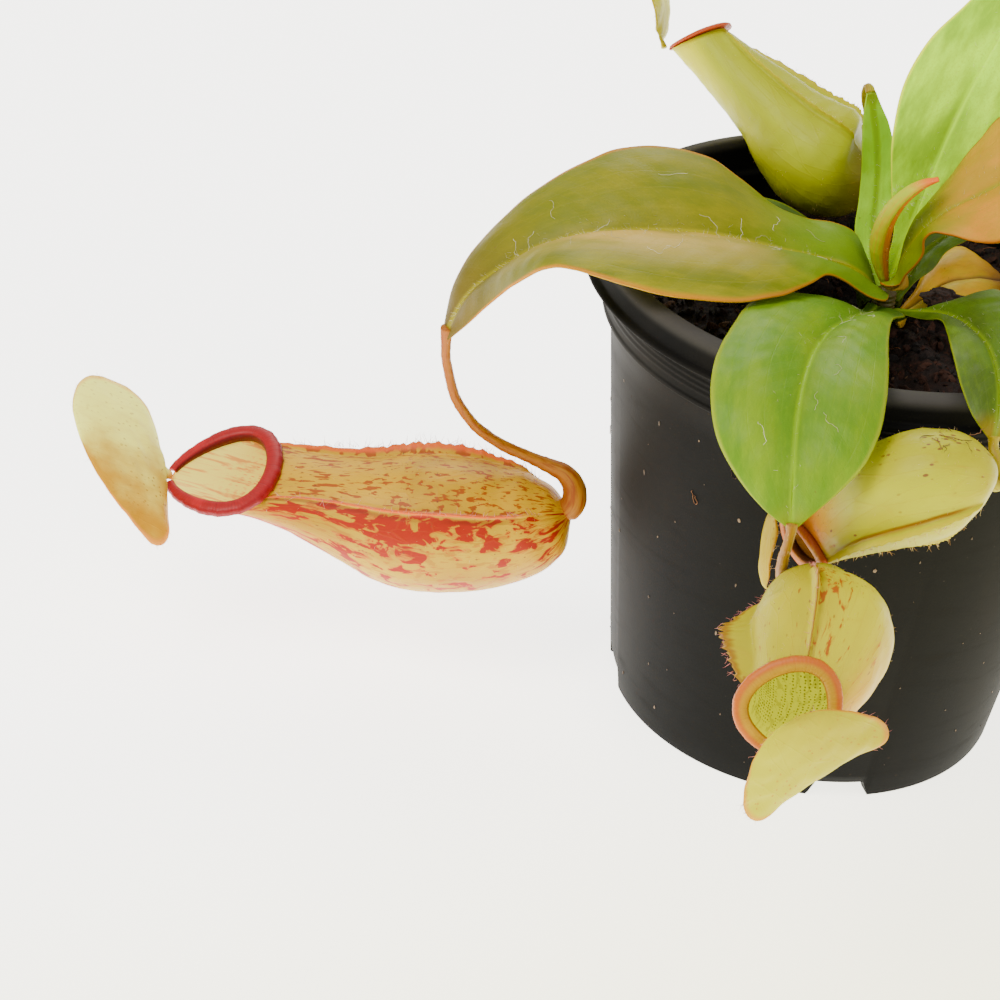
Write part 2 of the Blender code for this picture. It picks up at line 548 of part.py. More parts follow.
PITCHERS = {
    "left": {
        "axis": [(-49.2, -5.0, 34.6, 1.6, 1.6), (-50.6, -5.0, 34.0, 5.2, 5.0),
                 (-53.8, -5.0, 32.6, 8.6, 8.4), (-61.0, -5.0, 30.5, 11.4, 11.2),
                 (-71.1, -5.0, 29.3, 12.9, 12.9), (-80.5, -5.0, 29.0, 12.7, 12.4),
                 (-88.5, -4.8, 30.2, 11.0, 9.8), (-95.2, -4.4, 31.9, 8.8, 7.0),
                 (-102.5, -4.4, 33.0, 7.9, 5.6)],
        "front": (0.0, -0.139, 0.990),
        "mouth": (-114.6, -5.0, 35.0),
        "along": (19.0, 0.0, 4.6),
        "across": (0.0, 18.6, 4.0),
        "wing": (41.0, 2.4, 0.9, 0.10),
        "finish": "cup_red",
        "rim": "rim_red",
        "blend": 0.72,
        "rim_size": 1.0,
        "lid": ((-124.4, -5.2, 33.5), (-125.2, -6.0, 34.4), (-139.0, -14.4, 45.2),
                (-9.5, 32.5, 12.4)),
        "lid_shape": (0.14, 0.30),
    },
    "front": {
        "axis": [(-10.2, -62.9, 65.7, 1.5, 1.5), (-10.1, -64.6, 65.4, 4.8, 4.4),
                 (-10.4, -69.0, 64.5, 8.4, 8.2), (-9.8, -76.0, 63.7, 11.6, 10.9),
                 (-10.4, -83.0, 63.6, 11.0, 10.1), (-12.2, -88.5, 63.3, 8.6, 7.8)],
        "front": (-0.80, -0.10, 0.60),
        "mouth": (-14.8, -96.0, 62.7),
        "along": (-7.0, 6.5, 10.1),
        "across": (11.4, 2.5, 6.5),
        "wing": (36.0, 2.4, 4.6, 0.30),
        "finish": "cup_yellow",
        "rim": "rim_orange",
        "blend": 0.62,
        "rim_size": 1.0,
        "lid": ((-10.7, -99.9, 56.7), (-10.0, -103.3, 57.2), (-17.2, -107.8, 69.4),
                (19.2, 8.2, 13.2)),
        "lid_shape": (0.42, 0.0),
    },
    "right": {
        "axis": [(14.4, -61.5, 86.3, 1.4, 1.4), (13.0, -61.8, 86.7, 4.2, 4.0),
                 (10.4, -62.2, 86.8, 7.0, 6.8), (6.2, -62.2, 85.6, 8.8, 8.6),
                 (1.4, -60.9, 82.4, 9.2, 8.9), (-2.5, -58.2, 77.8, 8.4, 7.9),
                 (-5.9, -54.9, 72.2, 7.0, 6.2)],
        "front": (0.25, -0.70, -0.67),
        "mouth": (-11.6, -51.8, 64.8),
        "along": (5.6, -6.6, -5.0),
        "across": (-2.6, 8.2, -5.2),
        "wing": (34.0, 1.2, 2.2, 0.10),
        "finish": "cup_yellow",
        "rim": "rim_orange",
        "blend": 0.62,
        "rim_size": 0.8,
        "lid": ((-15.4, -48.2, 68.3), (-16.8, -49.5, 69.1), (-17.4, -60.8, 61.6),
                (0.0, 5.5, -9.0)),
        "lid_shape": (0.0, 0.0),
    },
    "back": {
        "axis": [(1.0, 27.9, 96.6, 1.5, 1.5), (-0.9, 28.0, 95.7, 5.0, 4.8),
                 (-4.0, 28.6, 95.1, 8.6, 8.4), (-9.0, 30.0, 96.1, 10.8, 10.5),
                 (-14.4, 32.8, 98.8, 10.0, 9.4), (-19.0, 36.2, 101.8, 8.3, 7.5),
                 (-24.8, 40.6, 104.8, 7.4, 6.3), (-28.6, 43.4, 106.6, 7.3, 6.1)],
        "front": (0.35, 0.10, 0.93),
        "mouth": (-34.4, 48.0, 109.6),
        "along": (9.8, 2.6, 3.9),
        "across": (0.0, 8.8, -5.7),
        "wing": (34.0, 1.8, 1.4, 0.10),
        "finish": "cup_yellow",
        "rim": "rim_orange",
        "blend": 0.62,
        "rim_size": 0.6,
        "lid": ((-40.9, 47.0, 107.6), (-41.7, 47.8, 109.2), (-44.6, 59.4, 126.4),
                (4.0, 16.2, -10.0)),
        "lid_shape": (0.10, 0.0),
    },
}


def wing_angles(wing_angle):
    """Section angles: three close together at each wing, the rest evenly spread."""
    foot = 4.5
    front = np.linspace(-wing_angle + foot, wing_angle - foot, 5)
    back = np.linspace(wing_angle + foot, 360 - wing_angle - foot, 13)
    angles = np.concatenate([front, [wing_angle], back, [360 - wing_angle]])
    return np.radians(angles)


def mouth_ring(data, angles):
    """Teardrop: an ellipse that narrows toward the lid."""
    along = np.asarray(data["along"]) / 2
    across = np.asarray(data["across"]) / 2
    taper = 1 + MOUTH_TAPER * np.cos(angles)
    return (np.asarray(data["mouth"]) + np.cos(angles)[:, None] * along
            + (np.sin(angles) * taper)[:, None] * across)


def cup_rings(data, angles, wall=0.0, wings=True):
    """Rings round the bent axis, mixed into the mouth's own ring towards the open end."""
    steps = np.linspace(0.0, 1.0, CUP_RINGS)
    stations = 0.55 * steps + 0.45 * (1 - np.cos(math.pi * steps / 2))
    path = smooth_curve(data["axis"], stations=stations)
    tangents = unit(np.gradient(path[:, :3], axis=0))
    front = transported(tangents, data["front"])
    side = np.cross(tangents, front)
    mouth_side = np.asarray(data["across"])
    side_sign = 1.0 if np.dot(side[-1], mouth_side) > 0 else -1.0
    wing_angle, first_height, second_height, wing_start = data["wing"]
    mouth = mouth_ring(data, angles)
    middle = np.asarray(data["mouth"])
    reach = np.linalg.norm(mouth - middle, axis=1, keepdims=True)
    mouth = middle + (mouth - middle) * (1 - wall / reach)
    rings = []
    for i, station in enumerate(stations):
        wide = max(path[i, 3] - wall, 0.4)
        deep = max(path[i, 4] - wall, 0.4)
        ring = (path[i, :3] + side_sign * wide * np.sin(angles)[:, None] * side[i]
                + deep * np.cos(angles)[:, None] * front[i])
        share = np.clip((station - data["blend"]) / (1 - data["blend"]), 0.0, 1.0)
        share = 0.9 * share**1.6
        ring = (1 - share) * ring + share * mouth
        if wings:
            outward = unit(ring - ring.mean(axis=0))
            tooth = 1.0 + TOOTH * (-1) ** i
            passed = (station - wing_start) / (WING_END - wing_start)
            envelope = math.sin(math.pi * min(max(passed, 0.0), 1.0)) ** 0.45
            for angle, height in ((wing_angle, first_height), (-wing_angle, second_height)):
                near = np.abs(np.angle(np.exp(1j * (angles - math.radians(angle))))) < 0.02
                ring[near] += (height * envelope * tooth) * outward[near]
        rings.append(ring)
    rings.append(mouth)
    return rings, path, tangents


def build_cup(name, data):
    angles = wing_angles(data["wing"][0])
    outer, path, tangents = cup_rings(data, angles)
    inner, _, _ = cup_rings(data, angles, wall=CUP_WALL, wings=False)
    kept = inner[2:][::-1]
    base = path[0, :3] - 0.4 * tangents[0]
    depth = path[2, :3] - 0.30 * (path[2, 3] - CUP_WALL) * tangents[2]
    rows = outer + kept
    count = len(angles)
    points = np.concatenate(rows + [[base], [depth]])
    number = np.arange(len(rows) * count).reshape(len(rows), count).tolist()
    faces = []
    for first, second in zip(number[:-1], number[1:]):
        faces += stitch(first, second)
    pole = len(rows) * count
    faces += [(number[0][(i + 1) % count], number[0][i], pole) for i in range(count)]
    faces += [(number[-1][i], number[-1][(i + 1) % count], pole + 1) for i in range(count)]
    return add_object(name, mesh_from(name, points, faces), data["finish"])


def build_rim(name, data):
    """The ribbed lip round the mouth, open at the back where the lid's neck passes."""
    sections = RIM_SECTIONS
    open_angle = math.radians(RIM_OPEN_ANGLE)
    angles = np.linspace(-math.pi + open_angle, math.pi - open_angle, sections)
    line = mouth_ring(data, angles)
    normal = mouth_normal(data)
    forward = unit(np.gradient(line, axis=0))
    outward = unit(np.cross(forward, normal))
    middle = np.asarray(data["mouth"])
    outward *= np.sign(np.sum(outward * (line - middle), axis=1, keepdims=True))
    profile = [(-0.85, 0.0), (-1.0, 0.55), (-0.3, 1.0), (0.5, 1.0), (1.0, 0.55), (0.95, 0.0)]
    rows = []
    for i in range(sections):
        taper = 0.55 + 0.45 * min(1.0, 4.5 * min(i, sections - 1 - i) / sections)
        rib = 1.0 + 0.05 * (-1) ** i
        size = taper * rib * data["rim_size"]
        rows.append([line[i] + size * across * (RIM_OUT if across > 0 else RIM_IN) * outward[i]
                     + (SEAT + RIM_HEIGHT * lift * size) * normal for across, lift in profile])
    sides = len(profile)
    points = np.concatenate(rows + [[np.mean(rows[0], axis=0)], [np.mean(rows[-1], axis=0)]])
    number = np.arange(sections * sides).reshape(sections, sides).tolist()
    faces = []
    for first, second in zip(number[:-1], number[1:]):
        faces += stitch(first, second)
    pole = sections * sides
    faces += [(number[0][(i + 1) % sides], number[0][i], pole) for i in range(sides)]
    faces += [(number[-1][i], number[-1][(i + 1) % sides], pole + 1) for i in range(sides)]
    return add_object(name, mesh_from(name, points, faces), data["rim"])


def mouth_normal(data):
    normal = unit(np.cross(data["along"], data["across"]))
    last = np.asarray(data["mouth"]) - np.asarray(data["axis"][-2][:3])
    return normal if np.dot(normal, last) > 0 else -normal


def build_lid(name, data):
    """A thin oval blade on a short neck; its width follows half an ellipse.

    The bow pulls both ends of the oval back beside the neck by the square of the place across
    it, and the lean makes one end longer than the other.
    """
    root, base, apex, side = [np.asarray(item, float) for item in data["lid"]]
    dome = unit(np.cross(side, apex - base)) * LID_DOME
    bow, lean = data["lid_shape"]
    shares = np.array([0.0, 0.04, 0.13, 0.30, 0.50, 0.70, 0.87, 0.96, 1.0])
    oval = 0.5 * np.sqrt(1 - 0.97 * (2 * shares - 1) ** 2)
    neck = LID_NECK / 2 / np.linalg.norm(side)
    widths = np.concatenate([[neck, neck], oval])
    blade = base + shares[:, None] * (apex - base)
    spine = np.concatenate([[root, (root + base) / 2], blade])
    reached = np.concatenate([[0.0, 0.0], shares])
    half = LID_HALF_COLUMNS
    columns = []
    for position in np.linspace(-1.0, 1.0, 2 * half + 1):
        lift = (1 - position**2) * (widths * 2)[:, None]
        across = 2 * position * widths
        pull = lean * across * reached - bow * across**2
        columns.append(spine + position * widths[:, None] * side + lift * dome
                       + pull[:, None] * (apex - base))
    grid = np.stack(columns, axis=1)
    count, width = grid.shape[:2]
    number = np.arange(count * width).reshape(count, width)
    faces = []
    for i in range(count - 1):
        for j in range(width - 1):
            a, b = number[i, j], number[i, j + 1]
            d, c = number[i + 1, j], number[i + 1, j + 1]
            faces += [(a, b, c), (a, c, d)] if j < half else [(a, b, d), (b, c, d)]
    return blade_object(name, grid, faces, "lid", LID_THICKNESS)


def build_pitchers():
    for place, data in PITCHERS.items():
        build_cup("pitcher_" + place, data)
        build_rim("peristome_" + place, data)
        build_lid("lid_" + place, data)


def build_bark():
    """A rough flake of bark lying on the old leaf."""
    work = bmesh.new()
    bmesh.ops.create_icosphere(work, subdivisions=2, radius=1.0)
    for corner in work.verts:
        rough = 1.0 + 0.28 * noise.noise(corner.co * 1.9 + Vector((4.0, 1.0, 7.0)))
        corner.co = Vector((corner.co.x * 4.8, corner.co.y * 3.2, corner.co.z * 1.0)) * rough * MM
    mesh = bpy.data.meshes.new("bark_chip")
    work.to_mesh(mesh)
    work.free()
    chip = add_object("bark_chip", mesh, "bark", smooth=False)
    chip.location = Vector((13.0, 0.9, 84.9)) * MM
    chip.rotation_euler = (0.12, 0.10, 0.5)
    return chip


clear_scene()
build_pot()
build_soil()
build_stem()
build_leaves()
build_shoot()
build_tendrils()
build_pitchers()
build_bark()
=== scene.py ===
# Potted tropical pitcher plant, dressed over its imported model.
import math

import bmesh
import bpy
import numpy as np
from mathutils import Euler, Matrix, Vector


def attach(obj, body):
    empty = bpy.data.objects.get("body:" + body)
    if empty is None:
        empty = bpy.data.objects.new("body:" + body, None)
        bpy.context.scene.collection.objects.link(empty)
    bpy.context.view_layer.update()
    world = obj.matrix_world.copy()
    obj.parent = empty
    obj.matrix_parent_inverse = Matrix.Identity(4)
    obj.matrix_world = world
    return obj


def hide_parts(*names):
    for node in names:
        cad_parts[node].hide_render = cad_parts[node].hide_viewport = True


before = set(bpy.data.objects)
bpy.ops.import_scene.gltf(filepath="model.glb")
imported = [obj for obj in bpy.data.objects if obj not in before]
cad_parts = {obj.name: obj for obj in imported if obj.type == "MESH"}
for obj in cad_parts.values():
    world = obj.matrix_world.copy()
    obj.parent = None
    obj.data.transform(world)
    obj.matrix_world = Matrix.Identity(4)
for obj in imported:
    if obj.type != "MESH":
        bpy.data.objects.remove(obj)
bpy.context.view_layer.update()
mm = 0.001  # every shape below is worked out in millimetres
fullTurn = 2 * math.pi


# number helpers

def unit(v):
    v = np.asarray(v, float)
    return v / np.maximum(np.linalg.norm(v, axis=-1, keepdims=True), 1e-12)


def ease(x, low, high):
    # rises smoothly from 0 at low to 1 at high
    t = np.clip((x - low) / (high - low), 0, 1)
    return t * t * (3 - 2 * t)


def bell(x, width):
    return np.exp(-(x / width) ** 2)


def pack(*columns):
    # numbers or arrays, stretched to one shape and set side by side on a new last axis
    return np.stack(np.broadcast_arrays(*columns), axis=-1)


def lengthAlong(path):
    return np.concatenate([[0.0], np.cumsum(np.linalg.norm(np.diff(path, axis=0), axis=1))])


def turnBetween(angles, turn):
    # how far each angle is from the turn, the short way round
    return np.abs(np.angle(np.exp(1j * (angles - turn))))


def curveThrough(points, stations):
    # a smooth cubic through the points, read again at even steps of its own length
    given = np.array(points, float)
    knots = lengthAlong(given[:, :3])
    slopes = np.gradient(given, knots, axis=0)
    fine = np.linspace(0, knots[-1], 60 * len(given))
    span = np.clip(np.searchsorted(knots, fine, side="right") - 1, 0, len(given) - 2)
    width = (knots[span + 1] - knots[span])[:, None]
    t = (fine - knots[span])[:, None] / width
    curve = ((2 * t**3 - 3 * t**2 + 1) * given[span] + (t**3 - 2 * t**2 + t) * slopes[span] * width
             + (3 * t**2 - 2 * t**3) * given[span + 1] + (t**3 - t**2) * slopes[span + 1] * width)
    length = lengthAlong(curve[:, :3])
    if np.isscalar(stations):
        stations = np.linspace(0, 1, stations)
    return pack(*[np.interp(stations * length[-1], length, column) for column in curve.T])


def carried(tangents, hint):
    # side vectors that turn no more than the path does, set by the hint at the far end
    sides = np.zeros_like(tangents)
    side = np.asarray(hint, float)
    for i in range(len(tangents) - 1, -1, -1):
        side = unit(side - side.dot(tangents[i]) * tangents[i])
        sides[i] = side
    return sides


def ripple(points, size, seed):
    # soft noise from -1 to 1: a sum of plane waves in random directions, each about one size long
    waves, spread = 28, 0.5
    rng = np.random.default_rng(seed)
    heading = unit(rng.normal(size=(waves, 3)))
    pitch = fullTurn / (size * rng.uniform(1 - spread, 1 + spread, waves))
    phase = rng.uniform(0, fullTurn, waves)
    total = np.cos(points.reshape(-1, 3) @ (heading * pitch[:, None]).T + phase).sum(axis=1)
    return (total / math.sqrt(waves) * 0.8).reshape(points.shape[:-1])


def gridNormals(grid):
    # cross product of the two differences across the grid
    return unit(np.cross(np.gradient(grid, axis=0), np.gradient(grid, axis=1)))


def readGrid(grid, rows, columns):
    # bilinear reading between the four grid points round each place
    r = np.clip(np.floor(rows).astype(int), 0, grid.shape[0] - 2)
    c = np.clip(np.floor(columns).astype(int), 0, grid.shape[1] - 2)
    u, v = (rows - r)[..., None], (columns - c)[..., None]
    return ((1 - u) * (1 - v) * grid[r, c] + u * (1 - v) * grid[r + 1, c]
            + (1 - u) * v * grid[r, c + 1] + u * v * grid[r + 1, c + 1])


# mesh helpers

def makeMesh(name, points, *faces, smooth=True, outward=True, **marks):
    # points in millimetres; marks are numbers or vectors kept on the points for the materials
    mesh = bpy.data.meshes.new(name)
    points = np.reshape(points, (-1, 3)) * mm
    corners = np.concatenate([group.ravel() for group in faces])
    sizes = np.concatenate([np.full(len(group), group.shape[1]) for group in faces])
    mesh.vertices.add(len(points))
    mesh.vertices.foreach_set("co", points.ravel())
    mesh.loops.add(len(corners))
    mesh.loops.foreach_set("vertex_index", corners.astype(np.int32))
    mesh.polygons.add(len(sizes))
    starts = np.concatenate([[0], np.cumsum(sizes)[:-1]])
    mesh.polygons.foreach_set("loop_start", starts.astype(np.int32))
    mesh.polygons.foreach_set("use_smooth", np.full(len(sizes), smooth))
    for mark, values in marks.items():
        values = np.asarray(values, np.float32)
        kind, field = ("FLOAT", "value") if values.ndim == 1 else ("FLOAT_VECTOR", "vector")
        mesh.attributes.new(mark, kind, "POINT").data.foreach_set(field, values.ravel())
    mesh.update(calc_edges=True)
    mesh.validate()
    if outward:
        work = bmesh.new()
        work.from_mesh(mesh)
        bmesh.ops.recalc_face_normals(work, faces=work.faces)
        work.to_mesh(mesh)
        work.free()
    made = bpy.data.objects.new(name, mesh)
    bpy.context.scene.collection.objects.link(made)
    return made


def perPoint(values, rows, columns):
    # one number or vector for each point of a grid, in the grid's order
    whole = np.broadcast_to(values, (rows, columns) + np.shape(values)[2:])
    return whole.reshape((rows * columns,) + whole.shape[2:])


def quadsOf(rows, columns, wrap=False, first=0):
    # quads of a grid whose points are numbered row by row; wrap closes each row on itself
    number = first + np.arange(rows * columns).reshape(rows, columns)
    beside = np.roll(number, -1, axis=1) if wrap else number[:, 1:]
    here = number if wrap else number[:, :-1]
    return np.stack([here[:-1], beside[:-1], beside[1:], here[1:]], axis=-1).reshape(-1, 4)


def makeTube(name, rings, ends=None, **marks):
    # rings joined by quads, and a fan to one extra point at each end; a mark is the grid's values
    # with the values of the two end points
    rows, columns = rings.shape[:2]
    if ends is None:
        ends = rings[[0, -1]].mean(axis=1)
    here, last, number = np.arange(columns), (rows - 1) * columns, rows * columns
    after = np.roll(here, -1)
    fans = np.concatenate([pack(after, here, number), pack(last + here, last + after, number + 1)])
    marks = {mark: np.concatenate([perPoint(values, rows, columns), atEnds])
             for mark, (values, atEnds) in marks.items()}
    points = np.concatenate([rings.reshape(-1, 3), ends])
    return makeMesh(name, points, quadsOf(rows, columns, wrap=True), fans, **marks)


def makeSheet(name, upper, lower, **marks):
    # two faces of one grid joined round the margin; a mark is one array or a pair for the two faces
    rows, columns = upper.shape[:2]
    count = rows * columns
    number = np.arange(count).reshape(rows, columns)
    loop = np.concatenate([number[0], number[1:, -1], number[-1, :-1][::-1], number[1:-1, 0][::-1]])
    after = np.roll(loop, -1)
    faces = (quadsOf(rows, columns), quadsOf(rows, columns, first=count)[:, ::-1],
             pack(loop, loop + count, after + count, after))
    pairs = {mark: values if isinstance(values, tuple) else (values, values)
             for mark, values in marks.items()}
    marks = {mark: np.concatenate([perPoint(values, rows, columns) for values in pair])
             for mark, pair in pairs.items()}
    return makeMesh(name, np.stack([upper, lower]), *faces, **marks)


def makeStrands(name, path, radius, across, other, sides):
    # many thin tubes in one mesh: rings round each path in one fixed plane, closed at both ends
    count, steps = path.shape[:2]
    turn = (np.arange(sides) * fullTurn / sides)[None, None, :, None]
    radius = np.broadcast_to(radius, (count, steps))[..., None, None]
    ring = np.cos(turn) * across[:, None, None] + np.sin(turn) * other[:, None, None]
    first = steps * sides * np.arange(count)[:, None, None]
    quads = (first + quadsOf(steps, sides, wrap=True)).reshape(-1, 4)
    end = first[:, 0] + np.arange(sides)
    tone = np.repeat(np.random.default_rng(count).uniform(0, 1, count), steps * sides)
    return makeMesh(name, path[:, :, None] + radius * ring, quads, end[:, ::-1],
                    end + (steps - 1) * sides, outward=False, tone=tone)


def makeHairs(name, roots, heading, lengths, width, curl, seed, steps=4):
    # each hair leaves its root along its heading and bends by a sine; its width falls in a line
    sides, tip, swing = 3, 0.25, 2.2
    rng = np.random.default_rng(seed)
    heading = unit(heading)
    across = unit(np.cross(heading, unit(rng.normal(size=heading.shape))))
    other = np.cross(heading, across)
    t = np.linspace(0, 1, steps + 1)[None, :, None]
    bend = rng.uniform(-1, 1, (len(roots), 2))[:, None, :] * curl
    bent = bend[..., :1] * across[:, None] + bend[..., 1:] * other[:, None]
    path = roots[:, None] + lengths[:, None, None] * t * (heading[:, None] + np.sin(swing * t) * bent)
    return makeStrands(name, path, width * (1 - (1 - tip) * t[..., 0]), across, other, sides)


def makeFibres(name, starts, heads, ups, lengths, width, curl, seed, settle=None):
    # curly fibres: the heading of each one turns by a running sum of random steps; settle lays
    # the paths on what carries them
    steps, sides = 14, 4
    rng = np.random.default_rng(seed)
    up, head = unit(ups), unit(heads)
    side = unit(np.cross(up, head))
    turn = np.cumsum(rng.normal(0, curl, (len(starts), steps)), axis=1)[..., None]
    moves = lengths[:, None, None] / steps * (np.cos(turn) * head[:, None] + np.sin(turn) * side[:, None])
    path = starts[:, None] + np.cumsum(np.concatenate([0 * moves[:, :1], moves], axis=1), axis=1)
    if settle:
        settle(path)
    return makeStrands(name, path, width, up, side, sides)


def finishPiece(made, material, slot, *nodes):
    made.data.materials.clear()
    made.data.materials.append(material)
    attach(made, "root")
    if nodes:
        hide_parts(*nodes)


# shader helpers

def addNode(tree, kind, settings, values, out=0):
    # values are numbers or wires, by the number or name of the socket
    made = tree.nodes.new(kind)
    for field, value in settings.items():
        setattr(made, field, value)
    for socket, value in values.items():
        if isinstance(value, Wire):
            tree.links.new(value.socket, made.inputs[socket])
        else:
            made.inputs[socket].default_value = value
    return Wire(tree, made.outputs[out])


class Wire:
    # one output socket; ordinary arithmetic on it adds Math nodes
    def __init__(self, tree, socket):
        self.tree = tree
        self.socket = socket

    def math(self, operation, *values):
        return addNode(self.tree, "ShaderNodeMath", {"operation": operation}, dict(enumerate(values)))

    def __add__(self, other): return self.math("ADD", self, other)
    def __radd__(self, other): return self.math("ADD", other, self)
    def __sub__(self, other): return self.math("SUBTRACT", self, other)
    def __rsub__(self, other): return self.math("SUBTRACT", other, self)
    def __mul__(self, other): return self.math("MULTIPLY", self, other)
    def __rmul__(self, other): return self.math("MULTIPLY", other, self)
    def __truediv__(self, other): return self.math("DIVIDE", self, other)
    def __pow__(self, other): return self.math("POWER", self, other)
    def least(self, other): return self.math("MINIMUM", self, other)
    def most(self, other): return self.math("MAXIMUM", self, other)
    def size(self): return self.math("ABSOLUTE", self)
    def sine(self): return self.math("SINE", self)

    def rise(self, low, high):
        # 0 at low and 1 at high, eased at both ends; low may be the larger one
        return addNode(self.tree, "ShaderNodeMapRange", {"interpolation_type": "SMOOTHSTEP"},
                       {"Value": self, "From Min": min(low, high), "From Max": max(low, high),
                        "To Min": float(low > high), "To Max": float(low <= high)}, "Result")

    def hump(self, middle, width):
        # 1 at the middle, falling as a parabola to 0 at the width on either side
        return (1 - ((self - middle) / width) ** 2).most(0)


def paint(shade):
    # a colour given as 0 to 255, turned into the linear numbers a shader wants
    s = np.asarray(shade, float) / 255
    return tuple(np.where(s <= 0.04045, s / 12.92, ((s + 0.055) / 1.055) ** 2.4)) + (1.0,)


class Finish:
    # a material under construction; the numbers given here are the same all over
    def __init__(self, name, specular, coat=(0, 0.03), flesh=(0, (1, 0.2, 0.1), 0.05), glow=0):
        # coat is its weight and roughness; flesh is the weight, radii and scale of scattered light
        self.material = bpy.data.materials.new(name)
        self.material.use_nodes = True
        self.tree = self.material.node_tree
        self.shader = self.tree.nodes["Principled BSDF"]
        names = ("Specular IOR Level", "Coat Weight", "Coat Roughness", "Subsurface Weight",
                 "Subsurface Radius", "Subsurface Scale", "Emission Strength")
        for socket, value in zip(names, (specular, *coat, *flesh, glow)):
            self.shader.inputs[socket].default_value = value

    def place(self):
        # object coordinates in millimetres
        spot = addNode(self.tree, "ShaderNodeTexCoord", {}, {}, "Object")
        return addNode(self.tree, "ShaderNodeVectorMath", {"operation": "SCALE"}, {0: spot, "Scale": 1000})

    def mark(self, name, out="Fac"):
        return addNode(self.tree, "ShaderNodeAttribute", {"attribute_name": name}, {}, out)

    def stretch(self, vector, *amounts):
        return addNode(self.tree, "ShaderNodeVectorMath", {"operation": "MULTIPLY"}, {0: vector, 1: amounts})

    def shift(self, vector, *amounts):
        return addNode(self.tree, "ShaderNodeVectorMath", {"operation": "ADD"}, {0: vector, 1: amounts})

    def noise(self, vector, size, detail=3, rough=0.5, warp=0):
        return addNode(self.tree, "ShaderNodeTexNoise", {}, {
            "Vector": vector, "Scale": 1 / size, "Detail": detail, "Roughness": rough, "Distortion": warp})

    def cells(self, vector, size, random=1, feature="F1"):
        return addNode(self.tree, "ShaderNodeTexVoronoi", {"feature": feature},
                       {"Vector": vector, "Scale": 1 / size, "Randomness": random}, "Distance")

    def cracks(self, vector, size):
        # 0 on the borders between cells
        return self.cells(vector, size, feature="DISTANCE_TO_EDGE")

    def layers(self, colour, *more):
        # each further layer is how much of it shows, and its colour
        for factor, shade in more:
            low, high = [item if isinstance(item, Wire) else paint(item) for item in (colour, shade)]
            colour = addNode(self.tree, "ShaderNodeMix", {"data_type": "RGBA"}, {0: factor, 6: low, 7: high}, 2)
        return colour

    def parts(self, vector):
        split = addNode(self.tree, "ShaderNodeSeparateXYZ", {}, {0: vector})
        return [Wire(self.tree, socket) for socket in split.socket.node.outputs]

    def link(self, wire, socket):
        self.tree.links.new(wire.socket, self.shader.inputs[socket])

    def join(self, colour, roughness, height=None, strength=0.5, depth=0.2):
        # depth is how far a full step of height stands out, in millimetres
        self.link(colour, "Base Color")
        self.link(roughness, "Roughness")
        if height is not None:
            self.link(addNode(self.tree, "ShaderNodeBump", {}, {
                "Strength": strength, "Distance": depth * mm, "Height": height}, "Normal"), "Normal")
        return self.material


# pot

pot = {
    "baseRadius": 37.3, "neckRadius": 45.9, "neckHeight": 74, "collarRadius": 47.9, "collarLow": 80,
    "flangeRadius": 52.5, "flangeHeight": 88.1, "lipOuter": 50.6, "lipInner": 47.4, "height": 93.4,
    "wall": 1.3, "collarInner": 46.2, "floor": 1.4, "discRadius": 20, "channel": (23, 33, 4.2),
    "footInner": 34.2, "notchAzimuth": 8.5, "notchLow": 11.4, "notchHigh": 8.6, "notchHeight": 3.5,
    "notchRadius": 36, "drains": 8, "drainRadius": 3.2, "ridges": 5, "ridgeHeight": 0.16, "turns": 288,
    # the third colour on the next line is a painted highlight for the lip and the pot's left side
    "shade": (8, 8, 8), "dust": (60, 52, 45), "paintedHighlight": (120, 116, 112), "roughness": 0.52,
}


def roundedProfile(corners, count=4):
    # each corner (radius, height, rounding) becomes a short parabola between its two sides
    spots = np.array([c[:2] for c in corners], float)
    out = [spots[:1]]
    t = np.linspace(0, 1, count)[:, None]
    for i in range(1, len(spots) - 1):
        rounding = corners[i][2]
        before, after = spots[i - 1] - spots[i], spots[i + 1] - spots[i]
        reach = min(rounding, 0.45 * np.linalg.norm(before), 0.45 * np.linalg.norm(after))
        a, b = spots[i] + reach * unit(before), spots[i] + reach * unit(after)
        out.append((1 - t)**2 * a + 2 * t * (1 - t) * spots[i] + t**2 * b if rounding else a[None])
    return np.concatenate(out + [spots[-1:]])


def potWall(z):
    # radius of the tapered outer wall
    return pot["baseRadius"] + (pot["neckRadius"] - pot["baseRadius"]) * z / pot["neckHeight"]


